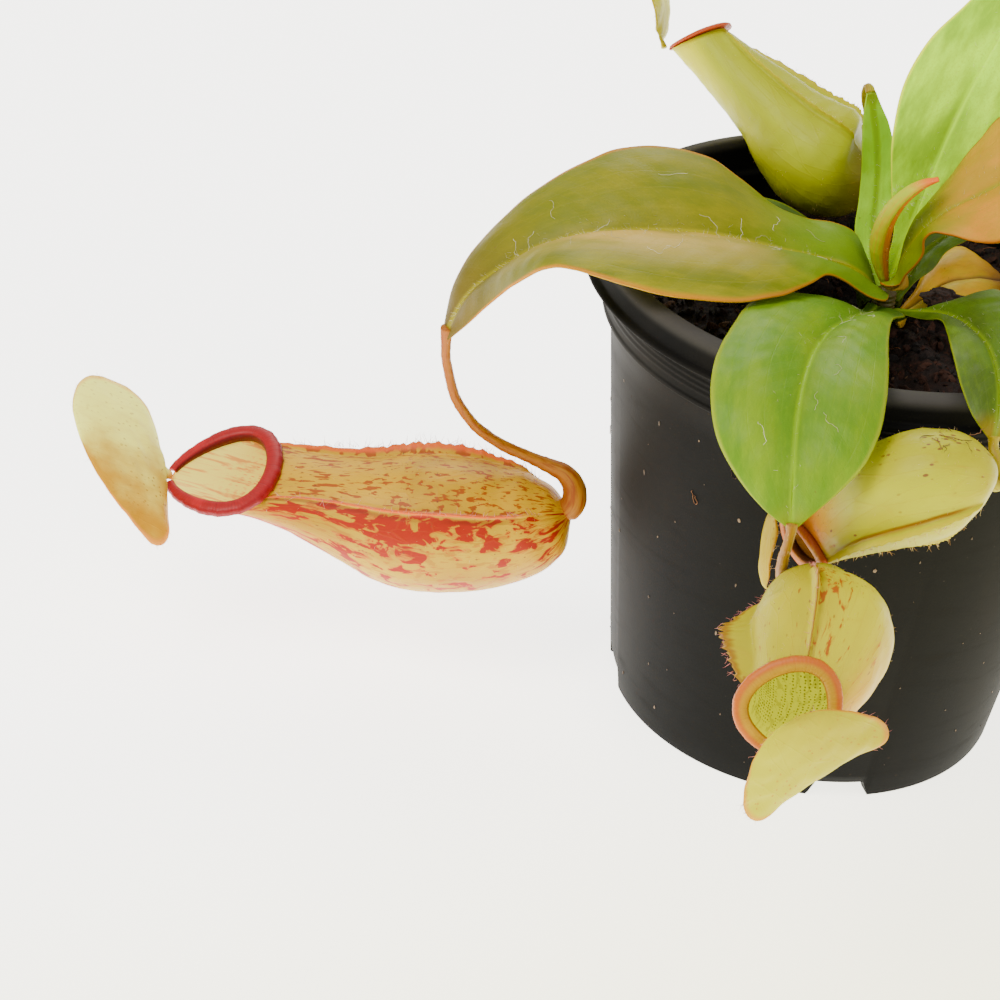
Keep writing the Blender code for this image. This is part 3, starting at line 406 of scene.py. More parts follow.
def makePot():
    # a profile spun round Z; the collar carries fine ridges, and the foot's edge is lifted in
    # four notches with slanted sides
    base, neck, neckTop, collar, low, flange, top, height, wall, inside, floor, disc = [pot[key] for key in (
        "baseRadius", "neckRadius", "neckHeight", "collarRadius", "collarLow", "flangeRadius",
        "flangeHeight", "height", "wall", "collarInner", "floor", "discRadius")]
    inner, outer, rise = pot["channel"]
    ridges = [(collar + (pot["ridgeHeight"] if i % 2 else 0), z, 0.2)
              for i, z in enumerate(np.linspace(low + 1.6, top - 1.3, 2 * pot["ridges"] + 1))]
    profile = roundedProfile([
        (0, 0, 0), (disc, 0, 0.8), (inner, rise, 0.8), (outer, rise, 0.8), (pot["footInner"], 0, 0.4),
        (base, 0, 0.5), (base + 0.62, 5.4, 0), (neck, neckTop, 1.5), (collar - 0.5, low - 0.9, 0.3),
        (collar + 0.25, low - 0.5, 0.2), (collar + 0.25, low + 0.15, 0.2), (collar, low + 0.5, 0.2), *ridges,
        (collar, top - 0.7, 0.3), (48.3, 91.7, 0.4), (50, 91.4, 0.4), (51.5, top, 0.2), (flange, top, 0.3),
        (flange - 0.1, top + 0.6, 0.3), (51.2, top + 1, 0.3), (pot["lipOuter"], 92.7, 0.7),
        (49.2, height, 0.6), (pot["lipInner"] + 0.3, height, 0.5), (47.1, 87, 0.4), (inside, 86.4, 0.4),
        (inside, low, 1), (neck - wall, neckTop, 1), (base - wall + 0.8, rise + 2.6, 1),
        (outer + 1.2, rise + floor, 0.6), (inner - 0.6, rise + floor, 0.6), (disc - 1, floor, 0.6),
        (0, floor, 0)])
    wide, narrow = [math.degrees(pot[key] / 2 / pot["notchRadius"]) for key in ("notchLow", "notchHigh")]
    turns = np.concatenate([np.linspace(0, 360, pot["turns"], endpoint=False)] + [
        pot["notchAzimuth"] + 90 * k + np.array([-wide, -narrow, narrow, wide]) for k in range(4)])
    turns = np.unique(np.round(turns % 360, 3))
    away = np.abs((turns - pot["notchAzimuth"] + 45) % 90 - 45)
    lift = pot["notchHeight"] * np.clip((wide - away) / (wide - narrow), 0, 1)
    radius, z = profile[1:-1].T
    grid = pack(radius[:, None] * np.cos(np.radians(turns)), radius[:, None] * np.sin(np.radians(turns)),
                z[:, None])
    foot = (radius > outer + 0.2) & (z < 3.6) & (np.arange(len(radius)) < len(radius) // 2)
    grid[foot, :, 2] = np.maximum(grid[foot, :, 2], lift)
    made = makeTube("potBody", grid, ends=[(0, 0, 0), (0, 0, floor)])
    around = np.linspace(0, fullTurn, 24, endpoint=False)
    for k in range(pot["drains"]):
        turn = fullTurn * (k + 0.5) / pot["drains"]
        x, y = (inner + outer) / 2 * math.cos(turn), (inner + outer) / 2 * math.sin(turn)
        ring = x + pot["drainRadius"] * np.cos(around), y + pot["drainRadius"] * np.sin(around)
        cutter = makeTube("drainCutter", np.stack([pack(*ring, rise + z) for z in (-4, 6)]))
        step = made.modifiers.new("drain", "BOOLEAN")
        step.operation, step.solver, step.object = "DIFFERENCE", "EXACT", cutter
        graph = bpy.context.evaluated_depsgraph_get()
        graph.update()
        done = bpy.data.meshes.new_from_object(made.evaluated_get(graph), depsgraph=graph)
        made.modifiers.clear()
        made.data = done
        bpy.data.objects.remove(cutter, do_unlink=True)
    return made


def potMaterial():
    f = Finish("blackPlastic", 0.06)
    spot = f.place()
    x, _, z = f.parts(spot)
    film = f.noise(f.stretch(spot, 1, 1, 0.35), 26, 5, 0.6)
    smear = f.noise(f.stretch(spot, 0.6, 0.6, 3), 9, 6, 0.65, 0.6)
    grain = f.noise(spot, 0.35, 2)
    specks = f.cells(spot, 5.5).rise(0.06, 0.035) * f.noise(spot, 14, 2).rise(0.46, 0.60)
    fine = f.cells(f.shift(spot, 31, 7, 3), 2.6).rise(0.07, 0.03) * f.noise(spot, 8, 2).rise(0.5, 0.62)
    dusty = film.rise(0.48, 0.78) * 0.10 + smear.rise(0.55, 0.8) * 0.07 + specks * 0.35 + fine * 0.4
    # painted highlight: the top of the lip and the pot's left side are painted lighter, standing in for light
    # shining on the plastic
    paintedHighlight = z.rise(91, 93.2) * 0.26 + x.rise(-30, -50) * z.rise(92, 80) * 0.10
    colour = f.layers(pot["shade"], (dusty.least(1), pot["dust"]), (paintedHighlight, pot["paintedHighlight"]))
    rough = pot["roughness"] + film * 0.16 + smear.rise(0.5, 0.8) * 0.10 + specks * 0.3
    return f.join(colour, rough, grain * 0.5 + film * 0.8, 0.35, 0.12)


crumbShape = np.array([(0, 0, 1), (0.9, 0, 0.35), (0.25, 0.85, 0.4), (-0.75, 0.5, 0.3), (-0.7, -0.55, 0.4),
                       (0.3, -0.85, 0.3), (0.75, 0.5, -0.4), (-0.3, 0.85, -0.4), (-0.9, 0, -0.35),
                       (-0.25, -0.85, -0.4), (0.75, -0.5, -0.35), (0, 0, -1)])
here, after = np.arange(5), (np.arange(5) + 1) % 5  # a top point, two rings of five and a bottom point
crumbFaces = np.concatenate([pack(0, 1 + here, 1 + after), pack(1 + here, 6 + here, 1 + after),
                             pack(6 + here, 6 + after, 1 + after), pack(11, 6 + after, 6 + here)])


def makeCrumbs(name, places, sizes, shapes, seed, turned=None, rough=0.28):
    # one twelve-point lump copied to every place, each squashed, turned and dented by seeded numbers
    rng = np.random.default_rng(seed)
    count = len(places)
    lumps = crumbShape * shapes[:, None] * (1 + rng.uniform(-rough, rough, (count, 12, 1)))
    if turned is None:
        turned, _ = np.linalg.qr(rng.normal(size=(count, 3, 3)))
        turned *= np.sign(np.linalg.det(turned))[:, None, None]
    lumps = np.einsum("nij,nkj->nki", turned, lumps * sizes[:, None, None]) + places[:, None]
    faces = (crumbFaces + 12 * np.arange(count)[:, None, None]).reshape(-1, 3)
    return makeMesh(name, lumps, faces, smooth=False, outward=False,
                    tone=np.repeat(rng.uniform(0, 1, count), 12))


potDirt = {"specks": 170, "speckSize": (0.10, 0.26), "fibres": 16, "fibreLength": (2, 6)}


def scatterOnPot(count, seed, low, high):
    # random turns and heights on the outer wall
    rng = np.random.default_rng(seed)
    return rng.uniform(0, fullTurn, count), rng.uniform(low, high, count), rng


def makePotSpecks():
    # crumbs squashed against the wall: each one's own axes are outward, sideways and up
    count = potDirt["specks"]
    turn, z, rng = scatterOnPot(count, 11, 4, 78)
    places = pack(potWall(z) * np.cos(turn), potWall(z) * np.sin(turn), z)
    out = unit(pack(np.cos(turn), np.sin(turn), -0.11))
    side = unit(np.cross(out, (0, 0, 1)))
    turned = np.stack([out, side, np.cross(side, out)], axis=-1)
    sizes = rng.uniform(*potDirt["speckSize"], count) * rng.choice([0.7, 1.0, 1.7], count)
    shapes = pack(0.35, rng.uniform(0.6, 1.2, count), rng.uniform(0.7, 2.2, count))
    return makeCrumbs("potSpecks", places + 0.05 * out, sizes, shapes, 5, turned)


def makePotFibres():
    # six fibres under the collar on the left and the rest anywhere, all laid on the wall
    proud = 0.12
    _, z, rng = scatterOnPot(potDirt["fibres"], 23, 40, 78)
    turn = np.concatenate([np.radians([236, 238, 241, 244, 233, 240]), rng.uniform(0, fullTurn, 10)])
    z[:6] = 72, 70.5, 74, 71.6, 76, 68
    radius = potWall(z) + proud
    out = pack(np.cos(turn), np.sin(turn), 0)
    heads = unit(np.cross(out, rng.normal(size=out.shape)))

    def settle(path):
        path[..., :2] *= ((potWall(path[..., 2]) + proud) / np.linalg.norm(path[..., :2], axis=-1))[..., None]

    return makeFibres("potFibres", pack(radius * np.cos(turn), radius * np.sin(turn), z), heads, out,
                      rng.uniform(*potDirt["fibreLength"], len(turn)), 0.07, 0.75, 9, settle)


# soil

soil = {"level": 79, "bump": 1.3, "edge": 44.2, "crumbs": 2300, "chips": 150, "fibres": 70,
        "dark": (16, 10, 8), "warm": (62, 34, 22), "pale": (112, 84, 62)}


def soilTop(x, y):
    # broad bumps, smaller lumps and a low rise round the stem
    spot = pack(x, y, 3.7)
    near = np.hypot(x - stem["centre"][0], y - stem["centre"][1])
    return (soil["level"] + soil["bump"] * 0.7 * ripple(spot, 17, 1) + 0.55 * ripple(spot, 5, 2)
            + 0.3 * ripple(spot, 2, 3) + 0.8 * bell(near, 14))


def makeSoil():
    # rings from the stem's hole out to the wall, then down the wall and in along the floor
    turn = np.linspace(0, fullTurn, 160, endpoint=False)
    compass = pack(np.cos(turn), np.sin(turn))
    centre = np.array(stem["centre"])
    hole = centre + compass * 2.3
    share = np.linspace(0, 1, 64)[:, None, None]
    flat = (1 - share) * hole + share * compass * (pot["collarInner"] - 1)
    top = np.dstack([flat, soilTop(flat[..., 0], flat[..., 1])])
    top[-1, :, 2] -= 0.5
    low = pot["floor"] + 0.4
    rise = pot["channel"][2] + low
    sides = [pack(*(compass * r).T, z)
             for r, z in [(44, 74), (37.4, rise + 2.4), (33, rise), (22, rise), (18.6, low)]]
    return makeTube("soilTop", np.concatenate([[pack(*hole.T, 70)], top, sides]))


def onSoil(count, seed, lift):
    rng = np.random.default_rng(seed)
    radius = np.sqrt(rng.uniform(3.4**2, soil["edge"]**2, count))
    turn = rng.uniform(0, fullTurn, count)
    x, y = radius * np.cos(turn), radius * np.sin(turn)
    return pack(x, y, soilTop(x, y) + lift), rng


def makeSoilCrumbs():
    count = soil["crumbs"]
    places, rng = onSoil(count, 31, 0.15)
    sizes = 0.35 + rng.uniform(0, 1, count) ** 3
    shapes = pack(rng.uniform(0.8, 1.4, count), rng.uniform(0.6, 1.0, count), rng.uniform(0.4, 0.9, count))
    return makeCrumbs("soilCrumbs", places, sizes, shapes, 32)


def makeSoilChips():
    count = soil["chips"]
    places, rng = onSoil(count, 41, 0.5)
    sizes = rng.uniform(0.7, 1.7, count)
    shapes = pack(rng.uniform(1.0, 1.9, count), rng.uniform(0.5, 0.8, count), 0.28)
    return makeCrumbs("soilChips", places, sizes, shapes, 42, rough=0.2)


def makeSoilFibres():
    count = soil["fibres"]
    places, rng = onSoil(count, 51, 0.7)
    turn = rng.uniform(0, fullTurn, count)

    def settle(path):
        path[..., :2] *= np.minimum(1, 44.8 / np.linalg.norm(path[..., :2], axis=-1))[..., None]
        path[..., 2] = soilTop(path[..., 0], path[..., 1]) + 0.35

    return makeFibres("soilFibres", places, pack(np.cos(turn), np.sin(turn), 0),
                      np.tile((0, 0, 1), (count, 1)), rng.uniform(3, 9, count), 0.09, 0.35, 52, settle)


def soilMaterial():
    f = Finish("dampSoil", 0.3)
    spot = f.place()
    lumps = f.noise(spot, 1.3, 6, 0.7, 0.4)
    colour = f.layers(soil["dark"], (lumps.rise(0.42, 0.75), soil["warm"]),
                      (f.noise(spot, 9).rise(0.35, 0.6) * 0.6, (34, 21, 17)))
    return f.join(colour, 0.72 + lumps * 0.25, lumps * 0.8 + f.cells(spot, 0.9) * 0.5, 0.9, 0.7)


def crumbMaterial():
    f = Finish("crumb", 0.3)
    tone = f.mark("tone")
    grain = f.noise(f.stretch(f.place(), 1, 1, 2), 0.6, 5, 0.7)
    colour = f.layers(soil["dark"], (tone.rise(0.25, 0.95), soil["warm"]),
                      (tone.rise(0.955, 0.985), soil["pale"]), (grain.rise(0.4, 0.75) * 0.5, (24, 15, 12)))
    return f.join(colour, 0.75 + grain * 0.2, grain, 0.8, 0.3)


def fibreMaterial(name, dark, pale):
    f = Finish(name, 0.35)
    band = f.noise(f.place(), 0.8)
    colour = f.layers(dark, ((f.mark("tone") * 0.7 + band * 0.5).rise(0.3, 0.9), pale))
    return f.join(colour, 0.55 + band * 0.3, band, 0.4, 0.05)


# stem and other stalks

stem = {"centre": (2, 0.5), "radius": 1.9, "foot": 72, "top": 86.6, "rootDistance": 2.75,
        "claspDistance": 3.1, "bark": ((90, 93, 16), (67, 51, 26))}


def makeStem():
    # an upright stalk whose radius swells at each old leaf scar
    z = np.linspace(stem["foot"], stem["top"], 90)
    swell = 1 + 0.09 * np.sin(z * 3.1) ** 2 + 0.05 * np.sin(z * 7.3 + 1)
    radius = stem["radius"] * swell * (1 - 0.5 * ease(z, stem["top"] - 1.2, stem["top"]))
    return roundStalk("stemTrunk", pack(*stem["centre"], z), radius, sides=28)


def roundStalk(name, path, radius, sides, flatten=1, groove=0, rough=0.03):
    # rings of an oval section along the path; groove sinks one narrow line along its length
    tangents = unit(np.gradient(path, axis=0))
    across = carried(tangents, (1, 0, 0) if abs(tangents[-1, 1]) > 0.9 else (0, 1, 0))
    lifted = np.cross(tangents, across)
    turn = np.linspace(0, fullTurn, sides, endpoint=False)
    size = radius[:, None] * (1 - groove * bell(turnBetween(turn, 3.9), 0.28))
    rings = (path[:, None] + (size * np.cos(turn))[..., None] * across[:, None]
             + (flatten * size * np.sin(turn))[..., None] * lifted[:, None])
    rings += rough * ripple(rings, 1.6, 4)[..., None] * unit(rings - path[:, None])
    along = lengthAlong(path)[:, None]
    return makeTube(name, rings, along=(along / along[-1], [0, 1]),
                    skin=(pack(np.cos(turn), np.sin(turn), along), [(0, 0, 0), (0, 0, along[-1, 0])]))


def stalkMaterial(name, body, side, tip=None, amount=1):
    f = Finish(name, 0.3, (0.05, 0.4), (0.05, (1, 0.6, 0.2), 0.001))
    skin = f.mark("skin", "Vector")
    _, y, _ = f.parts(skin)
    streak = f.noise(f.stretch(skin, 1.6, 1.6, 0.12), 0.5, 4, 0.6)
    band = f.noise(f.stretch(skin, 0.3, 0.3, 1), 3)
    dots = f.cells(f.stretch(skin, 1, 1, 0.5), 0.75).rise(0.16, 0.08) * band.rise(0.45, 0.6)
    colour = f.layers(body, (streak.rise(0.40, 0.66) * amount, side),
                      (y.rise(-0.1, -0.8) * 0.8 if tip else y.rise(0.2, -0.9) * 0.55, side),
                      (dots * 0.5, (110, 62, 34)))
    if tip:
        colour = f.layers(colour, (f.mark("along").rise(0.78, 0.98), tip))
    return f.join(colour, 0.42 + streak * 0.2, streak * 0.6 + band * 0.3, 0.5, 0.12)


def stalkHairs(name, path, radius, count, seed, lengths=(0.4, 0.9)):
    rng = np.random.default_rng(seed)
    line = curveThrough(path, 200)
    tangents = unit(np.gradient(line, axis=0))
    row = rng.integers(4, 196, count)
    out = unit(np.cross(tangents[row], rng.normal(size=(count, 3))))
    return makeHairs(name, line[row] + out * radius * 0.95, out + 0.4 * tangents[row],
                     rng.uniform(*lengths, count), 0.03, 0.4, seed + 1, steps=3)


# leaves: each is a blade stretched between its midrib and two edges

blade = {"rows": 130, "half": 22, "middle": 0.62, "margin": 0.34, "spine": 0.45, "groove": 0.22,
         "cockle": 0.16, "veinHeight": 0.05, "veinEvery": 4.6, "hairLength": (0.4, 1.1), "hairWidth": 0.027,
         "freckle": (92, 66, 30)}
# sheen sets how much of a painted sheen lies on one half of each blade
plainLeaf = {"slot": "leaf_green", "hairs": 30, "spread": 0.2, "clasp": 22, "waves": 3,
             "wave": 0.3, "bulge": 0.09, "keel": 0.5, "tipFrom": 0.9, "paintedSheen": 0.2}
leaves = {
    "left": {
        "midrib": [(-2.3, -2, 89), (-5.6, -3.6, 91.6), (-9.6, -5, 93.3), (-17.2, -9, 96.3),
            (-26.2, -11, 98.5), (-35, -12, 99.5), (-43.5, -12, 98.8), (-51.9, -12, 97),
            (-60.2, -12, 93.5), (-66.6, -12, 88.2), (-72.2, -12, 81.2), (-74.9, -12, 73.6)],
        "left": [(1.6, -4.7, 86.3), (-1.2, -6.1, 87.2), (-3.9, -7.4, 89), (-6.9, -9.4, 91.7),
            (-10.1, -12.6, 94.5), (-13.6, -19, 95.8), (-19.5, -27, 96.5), (-26.4, -31, 96.6),
            (-33.1, -32, 97.1), (-41.5, -32, 97.7), (-49.8, -30, 98), (-56.5, -27, 97.3),
            (-62.7, -23.3, 92.3), (-67.3, -18.4, 85.1), (-71.6, -14.8, 77.5), (-74.3, -12.7, 73.3)],
        "right": [(-2.4, 2.9, 91), (-5, 4.6, 94.6), (-8.6, 5.6, 95.4), (-13.4, 6, 95.2),
            (-20.3, 6, 97.2), (-26.3, 6, 101.4), (-32.2, 6, 105.2), (-39.3, 6, 106.4), (-47.9, 5, 105.2),
            (-56, 3, 101.2), (-64, 0, 96), (-70.3, -4, 89.5), (-74.2, -8, 82.5), (-75.5, -11.2, 73.9)],
        "slot": "leaf_olive", "hairs": 260, "spread": 0.1, "azimuth": 205, "height": 86.4, "clasp": 68,
        "wave": 0.4, "top": (124, 122, 0), "deep": (100, 108, 0), "edge": (198, 123, 0),
        "rib": (163, 154, 0), "tip": (90, 66, 8), "under": (143, 137, 8), "tipFrom": 0.62, "paintedSheen": 0.35,
        "base": (98, 136, 0), "baseAmount": 0.8, "baseFrom": (0.36, 0.14), "blush": (206, 168, 72),
        "blushAt": 0.55,
    },
    "front": {
        "midrib": [(-0.5, -5.6, 84), (-2.2, -10.6, 86.4), (-4.3, -17, 89.5), (-11.8, -34, 94.4),
            (-15.2, -46, 95.6), (-17.4, -60, 92.6), (-17.4, -66.5, 87.4), (-16.4, -69, 78.5)],
        "left": [(-3, -6.4, 84.6), (-6.8, -9.4, 86.8), (-11.4, -13, 89.8), (-18, -18, 92.4),
            (-23.5, -26, 94.4), (-28, -39, 96.2), (-30.8, -51, 94.8), (-31, -57.5, 93),
            (-29.4, -63, 89.2), (-25.4, -67, 84.8), (-20.9, -69, 81.1), (-16.9, -69.2, 78.4)],
        "right": [(3.8, -7, 85.8), (4.4, -10.6, 86.8), (2.9, -14.6, 88.6), (0.9, -21, 91.4),
            (-1.9, -37, 95.9), (-2.9, -49, 96.1), (-3.7, -57, 95.9), (-5, -64, 93.3), (-6.9, -67.5, 90.1),
            (-10, -69, 86.1), (-13.3, -69.5, 82), (-15.8, -69.2, 78.3)],
        "hairs": 70, "spread": 0.18, "azimuth": -115, "height": 83.4, "clasp": 40, "top": (108, 138, 0),
        "deep": (84, 126, 0), "edge": (141, 155, 0), "rib": (141, 179, 0), "tip": (120, 138, 0),
        # the front leaf's base colour is painted shade, for the dark curved-down part by the crown
        "under": (99, 134, 0), "tipFrom": 0.93, "paintedSheen": 0.25, "base": (56, 90, 7), "baseAmount": 1,
        "baseFrom": (0.36, 0.08),
    },
    "right": {
        "midrib": [(10.1, -15, 90.6), (13.2, -29, 95.4), (14.6, -41, 97.2), (15, -50, 95.3),
            (14.8, -54, 92.6), (14.5, -56, 90.4)],
        "left": [(7.4, -12, 87.4), (8.9, -20, 91.6), (8.6, -29, 94.6), (8.1, -42, 96.7),
            (9.2, -49, 95.2), (11.1, -53.6, 92.8), (13.8, -56, 90.5)],
        "right": [(7.4, -4.4, 84.6), (11.2, -6.2, 86.4), (14.8, -9.6, 91), (18, -15, 96),
            (20.8, -23, 98.6), (22.6, -34, 99.4), (22.4, -45, 98.1), (19.1, -52, 94.4),
            (15.3, -56, 90.6)],
        "hairs": 90, "azimuth": -50, "height": 83, "wave": 0.4, "top": (74, 106, 1), "deep": (62, 84, 8),
        "edge": (132, 147, 0), "rib": (122, 149, 0), "tip": (146, 117, 0), "under": (97, 124, 20),
    },
    "tall": {
        "midrib": [(4.9, 5.5, 95), (6.6, 7.5, 103.4), (9.1, 9, 114.4), (12.9, 10.6, 127.1),
            (16.8, 11.5, 138.2), (21.3, 12.2, 149), (25.9, 12.2, 158.3), (28.1, 12, 163)],
        "left": [(2.4, 6.5, 94.5), (0.8, 9, 101.7), (-0.6, 10.5, 112.3), (0.1, 12.3, 121),
            (3, 13.3, 128.4), (7.9, 14, 135), (15.2, 14, 145.8), (22.3, 13, 155.8), (27.5, 12.4, 162.8)],
        "right": [(8, 5.6, 95.2), (12.3, 6, 103.2), (19.2, 6.2, 113.2), (25.7, 6.8, 123.9),
            (30.5, 7.6, 134.2), (33.5, 9.2, 144.5), (33.3, 11, 154.3), (28.8, 12, 162.6)],
        "slot": "leaf_lime", "hairs": 120, "azimuth": 70, "height": 86.4, "clasp": 32, "wave": 0.5,
        "top": (186, 246, 0), "deep": (130, 178, 0), "edge": (243, 255, 0), "rib": (205, 255, 0),
        "tip": (168, 173, 0), "under": (139, 177, 34), "paintedSheen": 0.3,
    },
    "back": {
        "midrib": [(-0.1, 8.4, 86.8), (-0.5, 13, 92.7), (-0.8, 15, 98.2), (-1.5, 16, 103.6),
            (-2.8, 16, 109.3), (-4.1, 15.6, 113.4), (-5, 14.8, 117)],
        "left": [(-2.4, 8.4, 86.6), (-3.8, 12.5, 91.4), (-3.7, 15, 95.8), (-4, 16.5, 101.1),
            (-4.9, 16.3, 106.9), (-5.6, 15.6, 112.5), (-5.8, 14.6, 116.6)],
        "right": [(2.1, 9.8, 88.2), (2.8, 14, 94.1), (2.2, 16, 100), (1.2, 17, 105.3),
            (-0.7, 16.8, 110.6), (-2.8, 15.8, 114.2), (-4.2, 15, 116.8)],
        "slot": "leaf_grey", "azimuth": 112, "height": 84.6, "wave": 0.2, "bulge": -0.08,
        "top": (176, 232, 34), "deep": (146, 200, 24), "edge": (165, 208, 0), "rib": (119, 146, 13),
        "tip": (117, 124, 0), "under": (98, 121, 41), "paintedSheen": 0.3,
    },
    "bronze": {
        "midrib": [(3.2, -2, 91.2), (3.8, -2.1, 94.6), (5.5, -3, 99.7), (8.3, -3.5, 103.6),
            (12.2, -4, 107), (16.9, -5, 111.2), (22.6, -6, 115.7), (28.9, -6, 118), (34.2, -6, 118.6)],
        "left": [(5, 2.2, 91), (4.7, 3.2, 94.8), (5.5, 3.8, 99.5), (7.7, 4.2, 103.3),
            (10, 4.6, 106.9), (13.4, 5.6, 113), (16.7, 6.2, 119), (22.2, 5.6, 122.8), (27.6, 2.2, 122.2),
            (31, -1.8, 120.9), (33, -4.2, 119.5)],
        "right": [(1.6, -3.5, 88.6), (3.2, -4.2, 89.4), (3.9, -5.2, 92), (5, -6.4, 94.8),
            (6, -7.2, 97.7), (5.8, -7.8, 100.4), (6.8, -8.6, 102.2), (9.2, -10.2, 103),
            (12.7, -13, 103.9), (16.8, -17, 106.3), (22.5, -17.6, 109.6), (27.6, -14.6, 112.6),
            (31, -10.8, 115.4), (33, -7.8, 117.5)],
        "slot": "leaf_bronze", "hairs": 120, "spread": 0.3, "azimuth": -60, "height": 88.4, "clasp": 62,
        "waves": 2.5, "wave": 0.4, "keel": 0.2, "top": (216, 142, 34), "deep": (178, 138, 20),
        "edge": (191, 99, 0), "rib": (150, 154, 0), "tip": (189, 109, 35), "under": (182, 125, 42),
        "tipFrom": 0.85, "base": (115, 131, 0), "baseAmount": 1, "paintedSheen": 0.45, "baseFrom": (0.5, 0.26),
    },
    "small": {
        "midrib": [(-4.5, 6.4, 86.4), (-9.4, 9, 88.3), (-15.3, 11, 89.3), (-22.6, 13, 89.4),
            (-29.9, 15, 89.5)],
        "left": [(-5.2, 3.6, 85.4), (-9.9, 4.2, 86.5), (-15.9, 6, 86.3), (-22.2, 9, 86.4),
            (-29.7, 14.2, 89)],
        "right": [(-5, 8.8, 87.4), (-9.2, 12, 90.7), (-12.9, 13.6, 92), (-16.7, 15.4, 93),
            (-20.4, 16.2, 93.7), (-25.8, 16.4, 93.4), (-30.1, 15.8, 90.4)],
        "azimuth": 150, "height": 82.3, "top": (72, 97, 5), "deep": (55, 78, 11), "edge": (111, 123, 0),
        "rib": (97, 122, 9), "tip": (110, 105, 0), "under": (80, 99, 23),
    },
    "low": {
        "midrib": [(6.6, 5.5, 86.7), (8.7, 9.5, 89), (12.3, 13.5, 90.8), (17.1, 17, 92.1),
            (21.6, 20, 93.2)],
        "left": [(5.1, 7, 88.2), (7, 11.5, 90.8), (11.1, 16, 92.7), (16, 19.6, 93.4),
            (21.1, 21.4, 93.4)],
        "right": [(7.4, 3.9, 86.1), (10.5, 7, 87.4), (12.9, 10.5, 89.4), (17.2, 13.8, 91.1),
            (21.9, 18.2, 93)],
        "hairs": 40, "azimuth": 45, "height": 83, "top": (78, 106, 0), "deep": (59, 83, 7),
        "edge": (120, 131, 0), "rib": (109, 130, 0), "tip": (121, 117, 0), "under": (86, 108, 15),
    },
    "old": {
        "midrib": [(9.6, 4.8, 82.2), (14, 10.4, 83.2), (19.1, 12.8, 83.6), (25.2, 14.6, 82.6)],
        "left": [(8.6, 8.6, 82.3), (11.6, 16.8, 83), (14.7, 22.3, 83.6), (18, 23.8, 83.8),
            (21.8, 21.4, 83.2), (25.2, 16.4, 82.6)],
        "right": [(8.6, 0.9, 81.8), (12.2, -0.2, 81.9), (17.3, 4.2, 82.2), (21.9, 8.6, 82.4),
            (25.4, 13, 82.5)],
        "slot": "leaf_old", "hairs": 0, "azimuth": -8, "height": 80.6, "wave": 0.4, "bulge": 0.2,
        "keel": 0.2, "top": (216, 192, 0), "deep": (212, 156, 0), "edge": (81, 44, 12),
        "rib": (64, 36, 18), "tip": (90, 53, 16), "under": (218, 174, 0), "tipFrom": 0.7, "paintedSheen": 0,
    },
}
leaves = {place: {**plainLeaf, **leaf} for place, leaf in leaves.items()}


def leafGrid(leaf, rows, half):
    # each half runs straight from midrib to edge, bulged by a parabola 4t(1-t), sunk along the
    # midrib by (1-t)^4, and waved near the edge by a sine along the leaf times t squared
    turn = math.radians(leaf["azimuth"])
    outward = np.array([math.cos(turn), math.sin(turn), 0])
    aside = np.array([-math.sin(turn), math.cos(turn), 0])
    centre = np.array([*stem["centre"], leaf["height"]])
    along = np.linspace(0, 1, rows)
    middle = curveThrough([centre + stem["rootDistance"] * outward, *leaf["midrib"]], along)
    clasp = math.radians(leaf["clasp"])
    near = centre + stem["claspDistance"] * math.cos(clasp) * outward
    shift = stem["claspDistance"] * math.sin(clasp) * aside
    if np.subtract(leaf["left"][0], leaf["right"][0]) @ aside < 0:
        shift = -shift
    leftEdge = curveThrough([near + shift, *leaf["left"]], along)
    rightEdge = curveThrough([near - shift, *leaf["right"]], along)
    normal = unit(np.cross(unit(np.gradient(middle, axis=0)), rightEdge - leftEdge))
    if normal[rows // 2, 2] < 0:
        normal = -normal
    fade = np.sin(math.pi * np.clip(along * 1.02, 0, 1))[:, None] ** 0.7
    side = np.linspace(-1, 1, 2 * half + 1)
    side = np.sign(side) * np.abs(side) ** 1.15
    share = np.abs(side)
    reached = np.where(side[:, None] < 0, leftEdge[:, None], rightEdge[:, None]) - middle[:, None]
    flat = middle[:, None] + share[:, None] * reached
    width = np.linalg.norm(reached, axis=-1)
    reach = share * width
    length = lengthAlong(middle)[:, None]
    swing = np.sin(fullTurn * leaf["waves"] * along[:, None] + np.where(side < 0, 1.1, 2.9))
    veins = np.cos((length - 0.9 * reach) * fullTurn / blade["veinEvery"])
    lift = (leaf["bulge"] * width * 4 * share * (1 - share) - leaf["keel"] * (1 - share) ** 4 * fade
            + leaf["wave"] * np.minimum(1, width / 5) * share**2 * fade * swing
            - blade["groove"] * bell(reach, 0.7) * fade
            + blade["cockle"] * ripple(flat, 7, int(10 * leaf["height"])) * np.minimum(1, width / 6) * fade
            + blade["veinHeight"] * veins * ease(reach, 0.6, 2) * (1 - ease(share, 0.8, 1)))
    grid = flat + lift[..., None] * normal[:, None]
    facing = gridNormals(grid)
    if facing[rows // 2, half, 2] < 0:
        facing = -facing
    return grid, facing, along[:, None], side, np.sign(side) * reach, length


def makeBlade(name, leaf):
    # the grid's two faces pushed apart: thick along the midrib, thin at the margin
    grid, facing, along, side, signed, length = leafGrid(leaf, blade["rows"], blade["half"])
    share = np.abs(side)
    half = (blade["margin"] + (blade["middle"] - blade["margin"]) * (1 - share) ** 0.6) / 2
    rib = blade["spine"] * bell(signed, 0.8) * (1 - 0.55 * along)
    base = 1.3 * (1 - ease(along, 0, 0.10)) * (1 - share**2)
    skin = pack(length, signed, 0)
    return makeSheet(name, grid + facing * half[:, None], grid - facing * (half + rib + base)[..., None],
                     edge=share, along=along, side=side, under=(0, 1), skin=(skin, skin + (0, 0, 9)))


